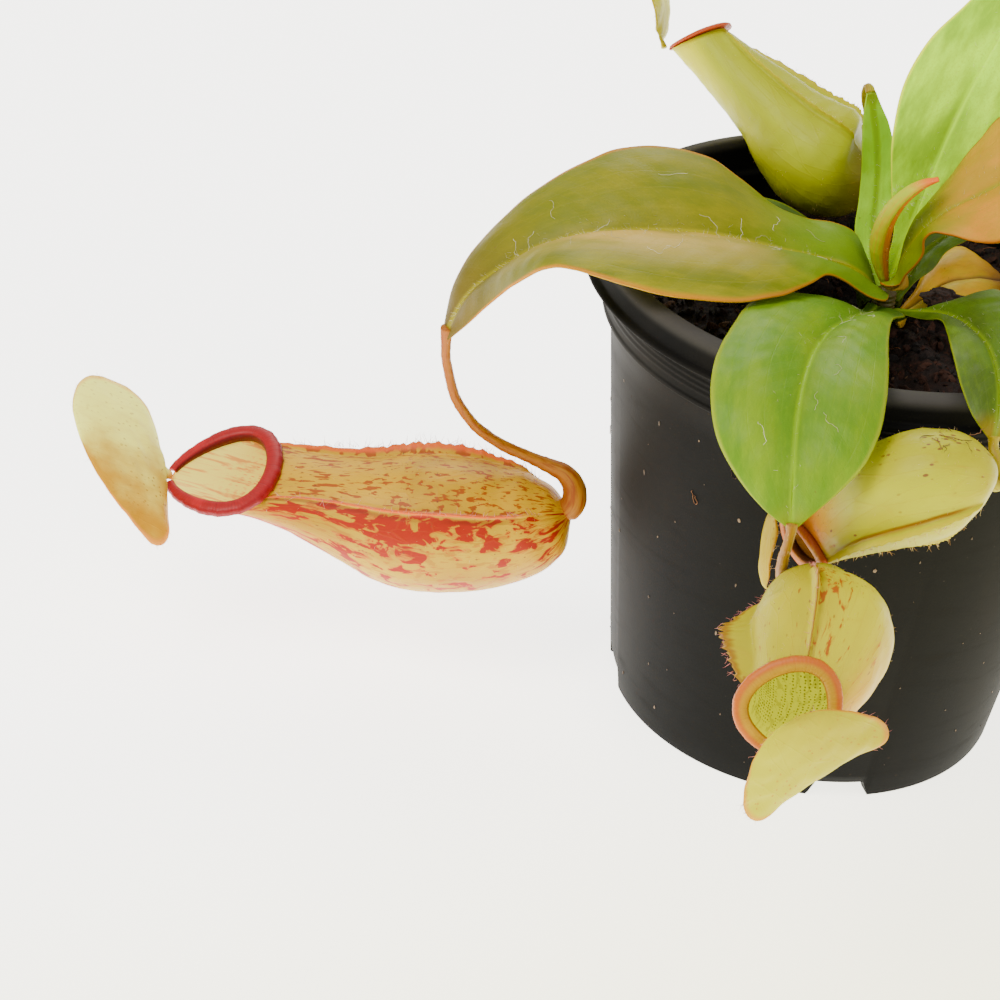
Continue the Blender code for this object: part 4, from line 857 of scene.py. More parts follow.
def leafMaterial(name, leaf):
    f = Finish(name, 0.2, (0.02, 0.35), (0.03, (0.6, 1, 0.2), 0.0015))
    edge, along, side, under = map(f.mark, ("edge", "along", "side", "under"))
    skin = f.mark("skin", "Vector")
    x, y, _ = f.parts(skin)
    out = y.size()
    cloud = f.noise(f.stretch(skin, 0.30, 0.9, 1), 5.5, 4, 0.55)
    fine = f.noise(f.stretch(skin, 0.35, 1, 1), 0.7, 4, 0.6)
    speckle = f.noise(f.stretch(skin, 0.6, 1, 1), 0.28, 3, 0.6)
    net = f.cracks(f.stretch(skin, 0.7, 1, 1), 0.55)
    veins = (edge * 15.7).sine().size().rise(0.16, 0) * edge.rise(0.12, 0.25)
    cross = ((x - out * 0.9) * 1.366).sine().size().rise(0.10, 0) * out.rise(0.6, 1.8)
    dots = f.cells(f.shift(skin, 3, 8, 1), 2.3).rise(0.085, 0.05) * f.noise(skin, 9).rise(0.5, 0.6)
    colour = f.layers(leaf["top"], (cloud.rise(0.34, 0.66), leaf["deep"]),
                      (fine.rise(0.45, 0.75) * 0.16, leaf["rib"]),
                      (speckle.rise(0.50, 0.68) * 0.35, leaf["deep"]),
                      # painted sheen: one half of the blade is painted paler in patches, standing in for light
                      # glancing off it
                      (side.rise(0, -1) * leaf["paintedSheen"] * cloud.rise(0.62, 0.35), leaf["rib"]))
    if "blush" in leaf:
        half = side.rise(-0.85, -0.1) * side.rise(0.02, -0.02)
        colour = f.layers(colour, (along.hump(leaf["blushAt"], 0.30) * half * cloud.rise(0.20, 0.60) * 0.85,
                                   leaf["blush"]))
    colour = f.layers(colour, (cross * 0.10 + veins * 0.08, leaf["rib"]),
                      (net.rise(0.10, 0) * 0.12, leaf["deep"]),
                      (along.rise(leaf["tipFrom"], 1) * 0.85, leaf["tip"]))
    # near the base the blade takes the base colour; on the front leaf this is painted shade, dark green where
    # the blade curves down out of the light
    if "base" in leaf:
        colour = f.layers(colour, (along.rise(*leaf["baseFrom"]) * leaf["baseAmount"], leaf["base"]))
    colour = f.layers(colour, (out.rise(0.9, 0.25) * 0.65, leaf["rib"]),
                      (edge.rise(0.93, 0.995) * (cloud.rise(0.25, 0.5) * 0.4 + 0.5), leaf["edge"]),
                      (dots * 0.45, blade["freckle"]), (under * 0.65, leaf["under"]))
    relief = fine * 0.35 + speckle * 0.25 + net.rise(0, 0.35) * 0.25 - veins * 0.5 - cross * 0.35
    return f.join(colour, 0.36 + fine * 0.16 + cloud * 0.08 + under * 0.1, relief, 0.45, 0.12)


def bladeHairs(name, leaf, seed):
    # short hairs standing on the blade's upper face, thickest beside the midrib
    count = leaf["hairs"]
    rng = np.random.default_rng(seed)
    grid, facing, *_ = leafGrid(leaf, 160, 24)
    row = (rng.uniform(0.12, 0.97, count) * 159).astype(int)
    column = np.clip(24 + rng.normal(0, leaf["spread"] * 24, count), 0, 48).astype(int)
    roots = grid[row, column] + facing[row, column] * (blade["middle"] * 0.4)
    lean = unit(grid[np.minimum(row + 1, 159), column] - grid[row, column])
    heading = facing[row, column] + 0.7 * lean + 0.5 * rng.normal(size=(count, 3))
    return makeHairs(name, roots, heading, rng.uniform(*blade["hairLength"], count), blade["hairWidth"],
                     0.5, seed + 1)


def bladeFibres(name, leaf, count, seed):
    # loose curly fibres lying on the blade
    rng = np.random.default_rng(seed)
    grid, facing, *_ = leafGrid(leaf, 160, 24)
    row, column, turn = rng.uniform(20, 130, count), rng.uniform(8, 40, count), rng.uniform(0, fullTurn, count)
    turn = turn[:, None] + np.cumsum(rng.normal(0, 0.5, (count, 16)), axis=1)
    rows = np.clip(row[:, None] + np.cumsum(np.cos(turn) * 0.55, axis=1), 0, 159)
    columns = np.clip(column[:, None] + np.cumsum(np.sin(turn) * 0.55, axis=1), 0, 48)
    path = readGrid(grid, rows, columns) + 0.34 * readGrid(facing, rows, columns)
    up = unit(readGrid(facing, rows[:, 0], columns[:, 0]))
    return makeStrands(name, path, 0.03, up, unit(np.cross(up, path[:, -1] - path[:, 0])), 4)


# rolled young leaf and the tendrils

shoot = {
    "path": [(1.5, 0.5, 87.6), (0.2, 0.2, 91), (-0.9, -1, 96.6), (-0.4, -2, 101.6),
        (1.6, -2.5, 105.8), (4.3, -3, 108.7), (6.6, -3.2, 110)],
    "radii": [1.1, 1.7, 2.2, 2.5, 2.5, 2.3, 2.1, 1.8, 1.5, 1.1, 0.55], "flatten": 0.72,
    "body": (179, 194, 0), "stripe": (247, 119, 0), "tip": (239, 102, 0),
}
tendrils = {
    "left": {
        "path": [(-74.9, -12, 75.4), (-74.8, -11.7, 72.7), (-74.7, -11, 69.6), (-74, -9, 64.9),
            (-72, -6, 57.1), (-68.3, -4, 51), (-63.3, -2, 46.4), (-57.6, -1.2, 43.7), (-53.4, -1.4, 42.3),
            (-50.6, -2, 41.4), (-49, -3, 40), (-48.4, -4, 38.4), (-48.6, -4.7, 36.6), (-50.2, -5, 34.6)],
        "slot": "tendril", "swell": 1.1, "thin": 0.85, "thick": 1.3, "body": (173, 111, 0),
        "side": (146, 68, 0), "steps": 150,
    },
    "front": {
        "path": [(-16.4, -69, 79.4), (-16.3, -69, 77), (-16.4, -68.6, 75), (-16.4, -66.6, 70.9),
            (-15.9, -64, 66.5), (-14.6, -61.8, 62.6), (-12.6, -60.6, 60.8), (-11, -60.4, 62),
            (-10.4, -61.2, 64.6), (-10.2, -63, 65.6)],
        "slot": "tendril", "swell": 0, "thin": 0.8, "thick": 1.35, "body": (165, 135, 0),
        "side": (130, 73, 5), "steps": 110,
    },
    "right": {
        "path": [(14.5, -55.4, 91), (14.6, -56.3, 89.45), (15.2, -57.7, 88.5), (15.9, -59, 87),
            (16, -60.3, 85.7), (15.2, -61.2, 85.5), (14, -61.5, 86.4)],
        "slot": "tendril_green", "swell": 0, "thin": 0.8, "thick": 1.15, "body": (161, 161, 0),
        "side": (142, 116, 0), "steps": 70,
    },
    "back": {
        "path": [(-5.1, 15.2, 116.6), (-5.4, 16, 117.2), (-5.7, 17.3, 116.6), (-5.3, 19.4, 113.6),
            (-3.6, 22.6, 109.2), (-1, 25.6, 103.9), (1.8, 27.8, 99.9), (2.9, 28.4, 97.6),
            (2.2, 28.1, 96.7), (0.6, 27.9, 96.5)],
        "slot": "tendril_green", "swell": 0, "thin": 0.65, "thick": 1.2, "body": (163, 159, 0),
        "side": (129, 100, 4), "steps": 110,
    },
}


def makeShoot():
    # an oval tube with one sunk seam where the blade overlaps itself
    path = curveThrough(shoot["path"], 120)
    radii = np.interp(np.linspace(0, 1, 120), np.linspace(0, 1, len(shoot["radii"])), shoot["radii"])
    return roundStalk("shootRoll", path, radii, 40, shoot["flatten"], groove=0.30)


def makeTendril(name, t):
    # the radius grows by s to 1.5, with a small swelling at the leaf and a larger one at the pitcher
    s = np.linspace(0, 1, t["steps"])
    radius = (t["thin"] + (t["thick"] - t["thin"]) * s**1.5 + 0.25 * bell(s, 0.05)
              + t["swell"] * ease(s, 0.70, 0.96)) * (1 - 0.25 * ease(s, 0.975, 1))
    return roundStalk(name, curveThrough(t["path"], t["steps"]), radius, 18, rough=0.05)


# pitchers: rings along a bent axis, mixed into a slanted teardrop mouth

cup = {"rings": 76, "wall": 0.6, "taper": 0.32, "tooth": 0.10, "spike": 0.030, "freckle": (112, 58, 34)}
# glow is the strength of the painted light in which the inside of each pitcher glows
plainCup = {"slot": "cup_yellow", "rimSlot": "rim_orange", "lean": 0, "blend": 0.62,
            "rimSize": 0.8, "glow": 0.1, "blotSize": 3, "neckSide": (0.1, -0.7), "crestFrom": (0.25, 0.8),
            "stain": 0.3, "freckle": 0.6, "freckleCut": (0.15, 0.09), "pinkHairs": (False, False)}
cups = {
    "left": {
        "axis": [(-49.2, -5, 34.6, 1.6, 1.6), (-50.6, -5, 34, 5.2, 5), (-53.8, -5, 32.6, 8.6, 8.4),
            (-61, -5, 30.5, 11.4, 11.2), (-71.1, -5, 29.3, 12.9, 12.9), (-80.5, -5, 29, 12.7, 12.4),
            (-88.5, -4.8, 30.2, 11, 9.8), (-95.2, -4.4, 31.9, 8.8, 7), (-102.5, -4.4, 33, 7.9, 5.6)],
        "rim": {"outerFrom": (0.55, 0.98), "shade": (153, 0, 3), "pale": (200, 0, 19),
            "dark": (96, 2, 19), "outer": (129, 0, 16)},
        "lidSkin": {"top": (255, 255, 127), "low": (184, 132, 0), "margin": (247, 149, 73),
            "dots": (136, 66, 0)},
        "slot": "cup_red", "rimSlot": "rim_red", "fringe": (0.8, 1.9), "fringeEvery": 1.8,
        "pinkHairs": (True, False), "front": (0, -0.139, 0.99), "mouth": (-114.6, -5, 35),
        "along": (19, 0, 4.6), "across": (0, 18.6, 4), "wing": (41, 2.4, 0.9, 0.1),
        "lid": ((-124.4, -5.2, 33.5), (-125.2, -6, 34.4), (-139, -14.4, 45.2), (-9.5, 32.5, 12.4)),
        "bow": 0.14, "lean": 0.3, "blend": 0.72, "rimSize": 1, "scallop": 0.5, "body": (174, 132, 0),
        "second": (196, 158, 0), "blotch": (159, 30, 0), "blotchEdge": (196, 92, 0),
        "heavy": (-1, 0.28, 0.14), "amount": (0.545, 0.585), "blotSize": 2.3, "base": (208, 160, 0),
        "inside": (255, 234, 104), "insideSpot": (224, 83, 46), "neck": (204, 45, 0), "neckShare": 0.75,
        "wingShade": (230, 88, 26), "panel": (212, 162, 0), "panelSpot": (154, 48, 0), "panelCut": 0.545,
        "ridge": (106, 34, 13), "ridgeAmount": 0.55, "freckle": 0.8, "stain": 0.6,
    },
    "front": {
        "axis": [(-10.2, -62.9, 65.7, 1.5, 1.5), (-10.1, -64.6, 65.4, 4.8, 4.4),
            (-10.4, -69, 64.5, 8.4, 8.2), (-9.8, -76, 63.7, 11.6, 10.9), (-10.4, -83, 63.6, 11, 10.1),
            (-12.2, -88.5, 63.3, 8.6, 7.8)],
        "rim": {"outerFrom": (0.05, 0.55), "shade": (178, 132, 0), "pale": (211, 157, 0),
            "dark": (159, 97, 0), "outer": (183, 81, 0)},
        "lidSkin": {"top": (166, 158, 0), "low": (178, 176, 0), "margin": (199, 95, 0),
            "dots": (168, 90, 0)},
        "fringe": (0.5, 1.3), "fringeEvery": 1.3, "pinkHairs": (True, True), "front": (-0.8, -0.1, 0.6),
        "mouth": (-14.8, -96, 62.7), "along": (-7, 6.5, 10.1), "across": (11.4, 2.5, 6.5),
        "wing": (36, 2.4, 4.6, 0.3),
        "lid": ((-10.7, -99.9, 56.7), (-10, -103.3, 57.2), (-17.2, -107.8, 69.4), (19.2, 8.2, 13.2)),
        "bow": 0.42, "scallop": 0.25, "body": (186, 174, 0), "second": (198, 192, 0),
        "blotch": (167, 87, 0), "blotchEdge": (177, 125, 0), "heavy": (0.8, 0.42, 0.13),
        "amount": (0.66, 0.71), "blotSize": 1.15, "glow": 1, "base": (137, 138, 0),
        "inside": (176, 177, 0), "insideSpot": (56, 43, 19), "neck": (201, 144, 0), "neckShare": 0.5,
        "wingShade": (140, 90, 0), "panel": (170, 161, 0), "panelSpot": (156, 88, 0), "panelCut": 0.66,
        "ridge": (108, 55, 14), "ridgeAmount": 0.5, "crestFrom": (0.6, 0.92),
    },
    "right": {
        "axis": [(14.4, -61.5, 86.3, 1.4, 1.4), (13, -61.8, 86.7, 4.2, 4),
            (10.4, -62.2, 86.8, 7, 6.8), (6.2, -62.2, 85.6, 8.8, 8.6), (1.4, -60.9, 82.4, 9.2, 8.9),
            (-2.5, -58.2, 77.8, 8.4, 7.9), (-5.9, -54.9, 72.2, 7, 6.2)],
        "rim": {"outerFrom": (0.55, 0.98), "shade": (176, 88, 0), "pale": (204, 149, 0),
            "dark": (81, 39, 21), "outer": (167, 65, 0)},
        "lidSkin": {"top": (176, 161, 0), "low": (169, 145, 0), "margin": (171, 102, 0),
            "dots": (118, 57, 7)},
        "fringe": (0.5, 1.4), "fringeEvery": 1, "front": (0.25, -0.7, -0.67),
        "mouth": (-11.6, -51.8, 64.8), "along": (5.6, -6.6, -5), "across": (-2.6, 8.2, -5.2),
        "wing": (34, 1.2, 2.2, 0.1),
        "lid": ((-15.4, -48.2, 68.3), (-16.8, -49.5, 69.1), (-17.4, -60.8, 61.6), (0, 5.5, -9)), "bow": 0,
        "scallop": 0.4, "body": (162, 158, 0), "second": (174, 176, 0), "blotch": (130, 71, 6),
        "blotchEdge": (172, 126, 0), "heavy": (0.6, 0.5, 0.02), "amount": (0.7, 0.75),
        "base": (167, 161, 0), "inside": (132, 83, 0), "insideSpot": (64, 34, 18), "neck": (212, 105, 0),
        "neckShare": 0.62, "wingShade": (185, 173, 0), "panel": (166, 163, 0), "panelSpot": (145, 92, 0),
        "panelCut": 0.7, "ridge": (124, 61, 0), "ridgeAmount": 0.85, "neckSide": (0.9, 0.1),
        "freckle": 0.9, "freckleCut": (0.21, 0.13),
    },
    "back": {
        "axis": [(1, 27.9, 96.6, 1.5, 1.5), (-0.9, 28, 95.7, 5, 4.8), (-4, 28.6, 95.1, 8.6, 8.4),
            (-9, 30, 96.1, 10.8, 10.5), (-14.4, 32.8, 98.8, 10, 9.4), (-19, 36.2, 101.8, 8.3, 7.5),
            (-24.8, 40.6, 104.8, 7.4, 6.3), (-28.6, 43.4, 106.6, 7.3, 6.1)],
        "rim": {"outerFrom": (0.55, 0.98), "shade": (173, 56, 0), "pale": (201, 108, 0),
            "dark": (107, 42, 14), "outer": (174, 63, 0)},
        "lidSkin": {"top": (224, 225, 0), "low": (176, 175, 0), "margin": (176, 151, 0),
            "dots": (133, 93, 0)},
        "fringe": (0.2, 0.6), "fringeEvery": 1.4, "front": (0.35, 0.1, 0.93), "mouth": (-34.4, 48, 109.6),
        "along": (9.8, 2.6, 3.9), "across": (0, 8.8, -5.7), "wing": (34, 1.8, 1.4, 0.1),
        "lid": ((-40.9, 47, 107.6), (-41.7, 47.8, 109.2), (-44.6, 59.4, 126.4), (4, 16.2, -10)),
        "bow": 0.1, "rimSize": 0.6, "scallop": 0.3, "body": (158, 164, 0), "second": (170, 180, 0),
        "blotch": (121, 92, 0), "blotchEdge": (155, 136, 0), "heavy": (0.6, 0.5, 0.05),
        "amount": (0.74, 0.8), "base": (110, 99, 0), "inside": (177, 164, 0), "insideSpot": (109, 75, 18),
        "neck": (213, 208, 0), "neckShare": 0.3, "wingShade": (176, 165, 0), "panel": (168, 171, 0),
        "panelSpot": (142, 116, 0), "panelCut": 0.74, "ridge": (121, 98, 0), "ridgeAmount": 0.25,
        "freckle": 0.15,
    },
}
cups = {place: {**plainCup, **c} for place, c in cups.items()}


def mouthRing(c, angles):
    # teardrop: an ellipse whose width grows and shrinks by 0.32 cos(angle)
    cosine, sine = np.cos(angles)[:, None], np.sin(angles)[:, None]
    return (np.array(c["mouth"]) + cosine * np.array(c["along"]) / 2
            + sine * (1 + cup["taper"] * cosine) * np.array(c["across"]) / 2)


def wingedAngles(c):
    # every few degrees all round, and much closer together over each wing
    wing = c["wing"][0]
    even = np.linspace(-180, 180, 112, endpoint=False)
    clear = np.minimum(np.abs(even - wing), np.abs(even + wing)) > 6.2
    close = np.linspace(-6, 6, 25)
    return np.radians(np.sort(np.concatenate([even[clear], close - wing, close + wing])))


def wingShape(c, along):
    # how high the wings stand along the pitcher, from 0 to 1: a sine to the power 0.45
    start = c["wing"][3]
    return np.sin(math.pi * np.clip((along - start) / (0.98 - start), 0, 1)) ** 0.45


def cupRings(c, angles, stations, wall=0, wings=True):
    # ring at station s: oval of the axis radii, mixed by 0.9((s-b)/(1-b))^1.6 into the mouth ring
    path = curveThrough(c["axis"], stations)
    tangents = unit(np.gradient(path[:, :3], axis=0))
    front = carried(tangents, c["front"])
    side = np.cross(tangents, front)
    if side[-1] @ np.array(c["across"]) <= 0:
        side = -side
    wide, deep = [np.maximum(path[:, k, None, None] - wall, 0.4) for k in (3, 4)]
    ring = (path[:, None, :3] + wide * np.sin(angles)[:, None] * side[:, None]
            + deep * np.cos(angles)[:, None] * front[:, None])
    reach = mouthRing(c, angles) - c["mouth"]
    mouth = c["mouth"] + reach * (1 - wall / np.linalg.norm(reach, axis=1, keepdims=True))
    share = 0.9 * np.clip((stations - c["blend"]) / (1 - c["blend"]), 0, 1)[:, None, None] ** 1.6
    ring = (1 - share) * ring + share * mouth
    closing = np.linspace(0, 1, 8)[1:, None, None]
    ring = np.concatenate([ring, (1 - closing) * ring[-1:] + closing * mouth])
    along = np.concatenate([stations, np.ones(7)])
    if wings:
        outward = unit(ring - ring.mean(axis=1, keepdims=True))
        tooth = 1 + cup["tooth"] * (np.sin(along * 150) + 0.6 * np.sin(along * 67 + 1))
        for turn, height in ((c["wing"][0], c["wing"][1]), (-c["wing"][0], c["wing"][2])):
            spike = np.exp(-(turnBetween(angles, math.radians(turn)) / cup["spike"]) ** 1.5)
            rise = height * (wingShape(c, along) * tooth)[:, None] * spike
            ring = ring + rise[..., None] * outward
    return ring, along, path, tangents


def cupStations():
    s = np.linspace(0, 1, cup["rings"])
    return 0.55 * s + 0.45 * (1 - np.cos(math.pi * s / 2))


def makeCup(name, c):
    # outer skin from the base to the mouth, then the inner skin back down, closed at both ends
    first = 8  # ring where the inner skin starts
    angles = wingedAngles(c)
    outer, along, path, tangents = cupRings(c, angles, cupStations())
    inner = cupRings(c, angles, cupStations(), cup["wall"], wings=False)[0][first:][::-1]
    outer = outer + 0.07 * ripple(outer, 4, 7)[..., None] * unit(outer - outer.mean(axis=1, keepdims=True))
    where = np.concatenate([along, along[first:][::-1]])[:, None]
    face = pack(np.cos(angles), np.sin(angles), where)
    size = (np.max(path[:, 3]), np.max(path[:, 3]), lengthAlong(path[:, :3])[-1])
    inside = (np.arange(len(where)) >= len(along))[:, None].astype(float)
    wing = math.radians(c["wing"][0])
    crest = bell(turnBetween(angles, wing), cup["spike"]) + bell(turnBetween(angles, -wing), cup["spike"])
    ends = np.array([(1, 0, 0), (1, 0, 0.2)])
    return makeTube(name, np.concatenate([outer, inner]),
                    [path[0, :3] - 0.4 * tangents[0], path[first, :3] - 0.5 * tangents[first]],
                    face=(face, ends), skin=(face * size, ends * (0, 0, size[2])),
                    inside=(inside, [0, 1]), crest=((1 - inside) * crest, [0, 0]))


def cupMaterial(name, c):
    f = Finish(name, 0.2, (0.02, 0.3), (0.05, (1, 0.6, 0.25), 0.0018), c["glow"])
    skin = f.mark("skin", "Vector")
    cosine, sine, station = f.parts(f.mark("face", "Vector"))
    inside, crest = f.mark("inside"), f.mark("crest")
    angle = sine.math("ARCTAN2", sine, cosine)
    cloud = f.noise(f.stretch(skin, 0.8, 0.8, 0.5), 9)
    blot = f.noise(f.stretch(skin, 1, 1, 0.55), c["blotSize"], 4, 0.55, 0.7)
    fine = f.noise(skin, 0.8, 4, 0.6)
    middle, width, heavy = c["heavy"]
    low, high = c["amount"]
    wing = math.radians(c["wing"][0])
    panel = cosine.rise(math.cos(wing) - 0.03, math.cos(wing) + 0.03)  # the face between the wings
    spot = blot + angle.hump(middle, width) * heavy * station.rise(0.12, 0.35) * station.rise(1, 0.86) - panel
    streak = f.noise(f.stretch(skin, 1, 1, 0.38), 0.85, 3, 0.5, 0.3).rise(c["panelCut"], c["panelCut"] + 0.05)
    dots = f.cells(f.shift(skin, 2, 5, 1), 1.5).rise(*c["freckleCut"]) * f.noise(skin, 5).rise(0.42, 0.54)
    vein = f.cracks(f.stretch(skin, 1, 1, 0.35), 2.6).rise(0.05, 0)
    line = angle.size().hump(wing + 0.09, 0.06) * cloud.rise(0.30, 0.52)
    colour = f.layers(
        c["body"], (cloud.rise(0.35, 0.65), c["second"]), (station.rise(0.30, 0.05), c["base"]),
        (panel * cloud.rise(0.2, 0.6) * 0.9, c["panel"]), ((panel * 0.5 + 0.35) * streak, c["panelSpot"]),
        (spot.rise(low - 0.05, low + 0.02) * 0.6, c["blotchEdge"]), (spot.rise(low, high), c["blotch"]),
        (station.rise(c["neckShare"], 0.99) * cosine.rise(*c["neckSide"]) * 0.85, c["neck"]),
        (dots * c["freckle"], cup["freckle"]), (vein * 0.10, c["blotchEdge"]),
        (line * station.rise(0.10, 0.25) * c["ridgeAmount"], c["ridge"]),
        (crest.rise(*c["crestFrom"]) * station.rise(0.08, 0.2) * 0.85, c["wingShade"]))
    glands = f.cells(skin, 0.62, 0.3).rise(0.34, 0.22)
    within = f.layers(c["inside"], (blot.rise(0.50, 0.62) * c["stain"], c["insideSpot"]),
                      (glands * station.rise(0.97, 0.9) * 0.75, c["insideSpot"]))
    # painted light: the inside skin glows in its own colour, at the pitcher's glow strength
    f.link(f.layers((0, 0, 0), (inside, within)), "Emission Color")
    rough = 0.34 + fine * 0.2 + spot.rise(low, high) * 0.08
    return f.join(f.layers(colour, (inside, within)), rough, fine * 0.5 + vein * 0.35 + cloud * 0.4, 0.45, 0.16)


def wingHairs(name, c, seed):
    # fringe along each wing's crest
    rng = np.random.default_rng(seed)
    angle = c["wing"][0]
    roots, heads = [], []
    for sign, height in ((-1, c["wing"][2]), (1, c["wing"][1])):
        bare, along, path, _ = cupRings(c, np.radians([sign * angle]), cupStations(), wings=False)
        axis = np.concatenate([path[:, :3], np.repeat(path[-1:, :3], 7, axis=0)])
        out = unit(bare[:, 0] - axis)
        crest = bare[:, 0] + out * (height * wingShape(c, along))[:, None] * 0.96
        run = lengthAlong(crest)
        count = int(c["fringeEvery"] * run[-1])
        at = np.sort(rng.uniform(0.12, 0.93, count)) * run[-1]
        roots.append(pack(*[np.interp(at, run, column) for column in crest.T]))
        heads.append(pack(*[np.interp(at, run, column) for column in out.T])
                     + 0.45 * rng.normal(size=(count, 3)))
    roots, heads = np.concatenate(roots), np.concatenate(heads)
    return makeHairs(name, roots, heads, rng.uniform(*c["fringe"], len(roots)), 0.045, 0.6, seed + 1)


def skinHairs(name, c, count, seed):
    # fine down all over the outer skin
    rng = np.random.default_rng(seed)
    ring, *_ = cupRings(c, np.linspace(-math.pi, math.pi, 73), cupStations(), wings=False)
    rows, columns = rng.uniform(6, len(ring) - 8, count), rng.uniform(0, 71.9, count)
    roots = readGrid(ring, rows, columns)
    heading = unit(roots - ring.mean(axis=1)[rows.astype(int)]) + 0.4 * rng.normal(size=(count, 3))
    return makeHairs(name, roots, heading, rng.uniform(0.25, 0.6, count), 0.022, 0.4, seed + 1, steps=3)


def skinFibres(name, c, count, seed):
    # curled fibres lying on the highest part of the skin
    ring, *_ = cupRings(c, np.radians(np.linspace(-180, 180, 73)), np.linspace(0.02, 0.5, 25))
    top = ring.reshape(-1, 3)
    top = top[top[:, 2] > np.percentile(top[:, 2], 97)]
    rng = np.random.default_rng(seed)
    picked = top[rng.integers(0, len(top), count)] + rng.normal(0, 0.6, (count, 3)) * (1, 1, 0.1) + (0, 0, 0.15)
    heads = rng.normal(size=(count, 3)) * (1, 1, 0.15)
    return makeFibres(name, picked, heads, np.tile((0, 0, 1), (count, 1)), rng.uniform(1.5, 4, count),
                      0.07, 0.5, seed + 1)


# peristomes: a ribbed lip round each mouth, open where the lid's neck passes

rim = {"height": 1.5, "inward": 1.2, "outward": 1.9, "seat": 0.12, "openAngle": 14, "sections": 300,
       "profile": 18, "ribEvery": 0.55, "ribHeight": 0.07}


def makeRim(name, c):
    # across the lip: a half oval, rolled down a little inside; along it: ribs as a raised cosine
    gap = math.radians(rim["openAngle"])
    line = mouthRing(c, np.linspace(-math.pi + gap, math.pi - gap, rim["sections"]))
    normal = unit(np.cross(c["along"], c["across"]))
    if normal @ np.subtract(c["mouth"], c["axis"][-2][:3]) <= 0:
        normal = -normal
    outward = unit(np.cross(unit(np.gradient(line, axis=0)), normal))
    outward *= np.sign(np.sum(outward * (line - c["mouth"]), axis=1, keepdims=True))
    run = lengthAlong(line)[:, None]
    rib = np.abs(np.cos(math.pi * run / rim["ribEvery"])) ** 0.7
    turn = math.pi * np.linspace(0, 1, rim["profile"] - 3)
    across = np.concatenate([-np.cos(turn), [0.55, 0, -0.55]])
    lift = np.concatenate([np.sin(turn) ** 0.55, [0.12, 0.16, 0.10]])
    across[:2], lift[:2] = (-0.92, -1.02), (-0.35, 0.25)
    share = np.linspace(0, 1, rim["sections"])[:, None]
    size = c["rimSize"] * (0.55 + 0.45 * np.minimum(1, 4.5 * np.minimum(share, 1 - share)))
    edge = 1 + c["scallop"] * (0.07 * np.sin(run * 1.9) + 0.05 * np.sin(run * 3.7 + 1))
    sideways = np.where(across > 0, rim["outward"], rim["inward"]) * across * size
    sideways = sideways * np.where(across > 0.5, edge, 1) + 0.04 * (rib - 0.5) * across**3
    up = (rim["seat"] + rim["height"] * lift * size
          + c["scallop"] * rim["ribHeight"] * (rib - 0.5) * np.clip(lift, 0, 1))
    rings = line[:, None] + sideways[..., None] * outward[:, None] + up[..., None] * normal
    return makeTube(name, rings, rib=(rib, [0.5, 0.5]), lip=(across, [0, 0]),
                    skin=(pack(run, across * 2, lift), [(0, 0, 0), (run[-1, 0], 0, 0)]))


def rimMaterial(name, r):
    f = Finish(name, 0.3, (0.04, 0.3), (0.03, (1, 0.4, 0.25), 0.001))
    rib, lip, skin = f.mark("rib"), f.mark("lip"), f.mark("skin", "Vector")
    fine = f.noise(f.stretch(skin, 1.6, 0.5, 1), 0.6)
    colour = f.layers(r["dark"], (rib.rise(0, 0.5) * 0.6 + 0.4, r["shade"]),
                      (f.noise(skin, 6).rise(0.5, 0.72) * 0.55, r["pale"]),
                      (fine.rise(0.5, 0.75) * 0.3, r["pale"]), (lip.rise(*r["outerFrom"]) * 0.85, r["outer"]),
                      (lip.rise(-0.66, -0.95) * 0.9, r["dark"]))
    return f.join(colour, 0.40 + fine * 0.14, fine * 0.4 + rib * 0.6, 0.4, 0.08)


# lids

lid = {"neck": 2.2, "dome": 1.6, "rows": 96, "half": 24, "middle": 0.46, "margin": 0.26, "hairs": 60}


def lidGrid(c):
    # a short neck widening into an oval; the half width follows (1-|2s-1|^2.1)^(1/2.1); the
    # blade is domed by one minus the square of the place q across it, bowed back by q squared and
    # drawn out on one side by the lean times q
    root, base, apex, side = np.array(c["lid"], float)
    up = unit(np.cross(side, apex - base))
    s = (1 - np.cos(np.linspace(0, math.pi, lid["rows"] - 14))) / 2
    oval = 0.5 * np.maximum(1 - np.abs(2 * s - 1) ** 2.1, 0) ** (1 / 2.1)
    neckWidth = lid["neck"] / 2 / np.linalg.norm(side)
    oval[s < 0.5] = np.maximum(oval[s < 0.5], neckWidth)
    stalk = np.linspace(0, 1, 15)[:-1]
    spine = np.concatenate([root + stalk[:, None] * (base - root), base + (s * 1.02)[:, None] * (apex - base)])
    widths = np.concatenate([neckWidth * (1 + 0.5 * stalk**2), oval])[:, None]
    widths[-1] = 0.004
    place = np.linspace(-1, 1, 2 * lid["half"] + 1)
    run = np.linspace(0, 1, len(spine))[:, None]
    q = 2 * place * widths
    pull = c["lean"] * q * np.concatenate([0 * stalk, s])[:, None] - c["bow"] * q**2
    grid = (spine[:, None] + (place * widths)[..., None] * side
            + ((1 - place**2) * widths * 2 * lid["dome"])[..., None] * up + pull[..., None] * (apex - base))
    wave = 0.35 * np.sin(run * 17 + 1) * np.abs(place) ** 3 * widths * 2
    return grid + (wave + 0.12 * ripple(grid, 5, 14))[..., None] * up, place, run, widths


def makeLid(name, c):
    # two faces, thick in the middle and at the neck and thin at the margin
    grid, place, run, widths = lidGrid(c)
    thick = lid["margin"] + (lid["middle"] - lid["margin"]) * (1 - np.abs(place)) ** 0.5
    half = (thick + 0.7 * (1 - ease(run, 0, 0.16)) * (1 - place**2))[..., None] / 2
    facing = gridNormals(grid)
    skin = pack(run * 22, place * widths * np.linalg.norm(c["lid"][3]), 0)
    return makeSheet(name, grid + facing * half, grid - facing * half, side=place, along=run,
                     edge=np.maximum(np.abs(place), ease(run, 0.94, 1)), skin=(skin, skin + (0, 0, 7)))


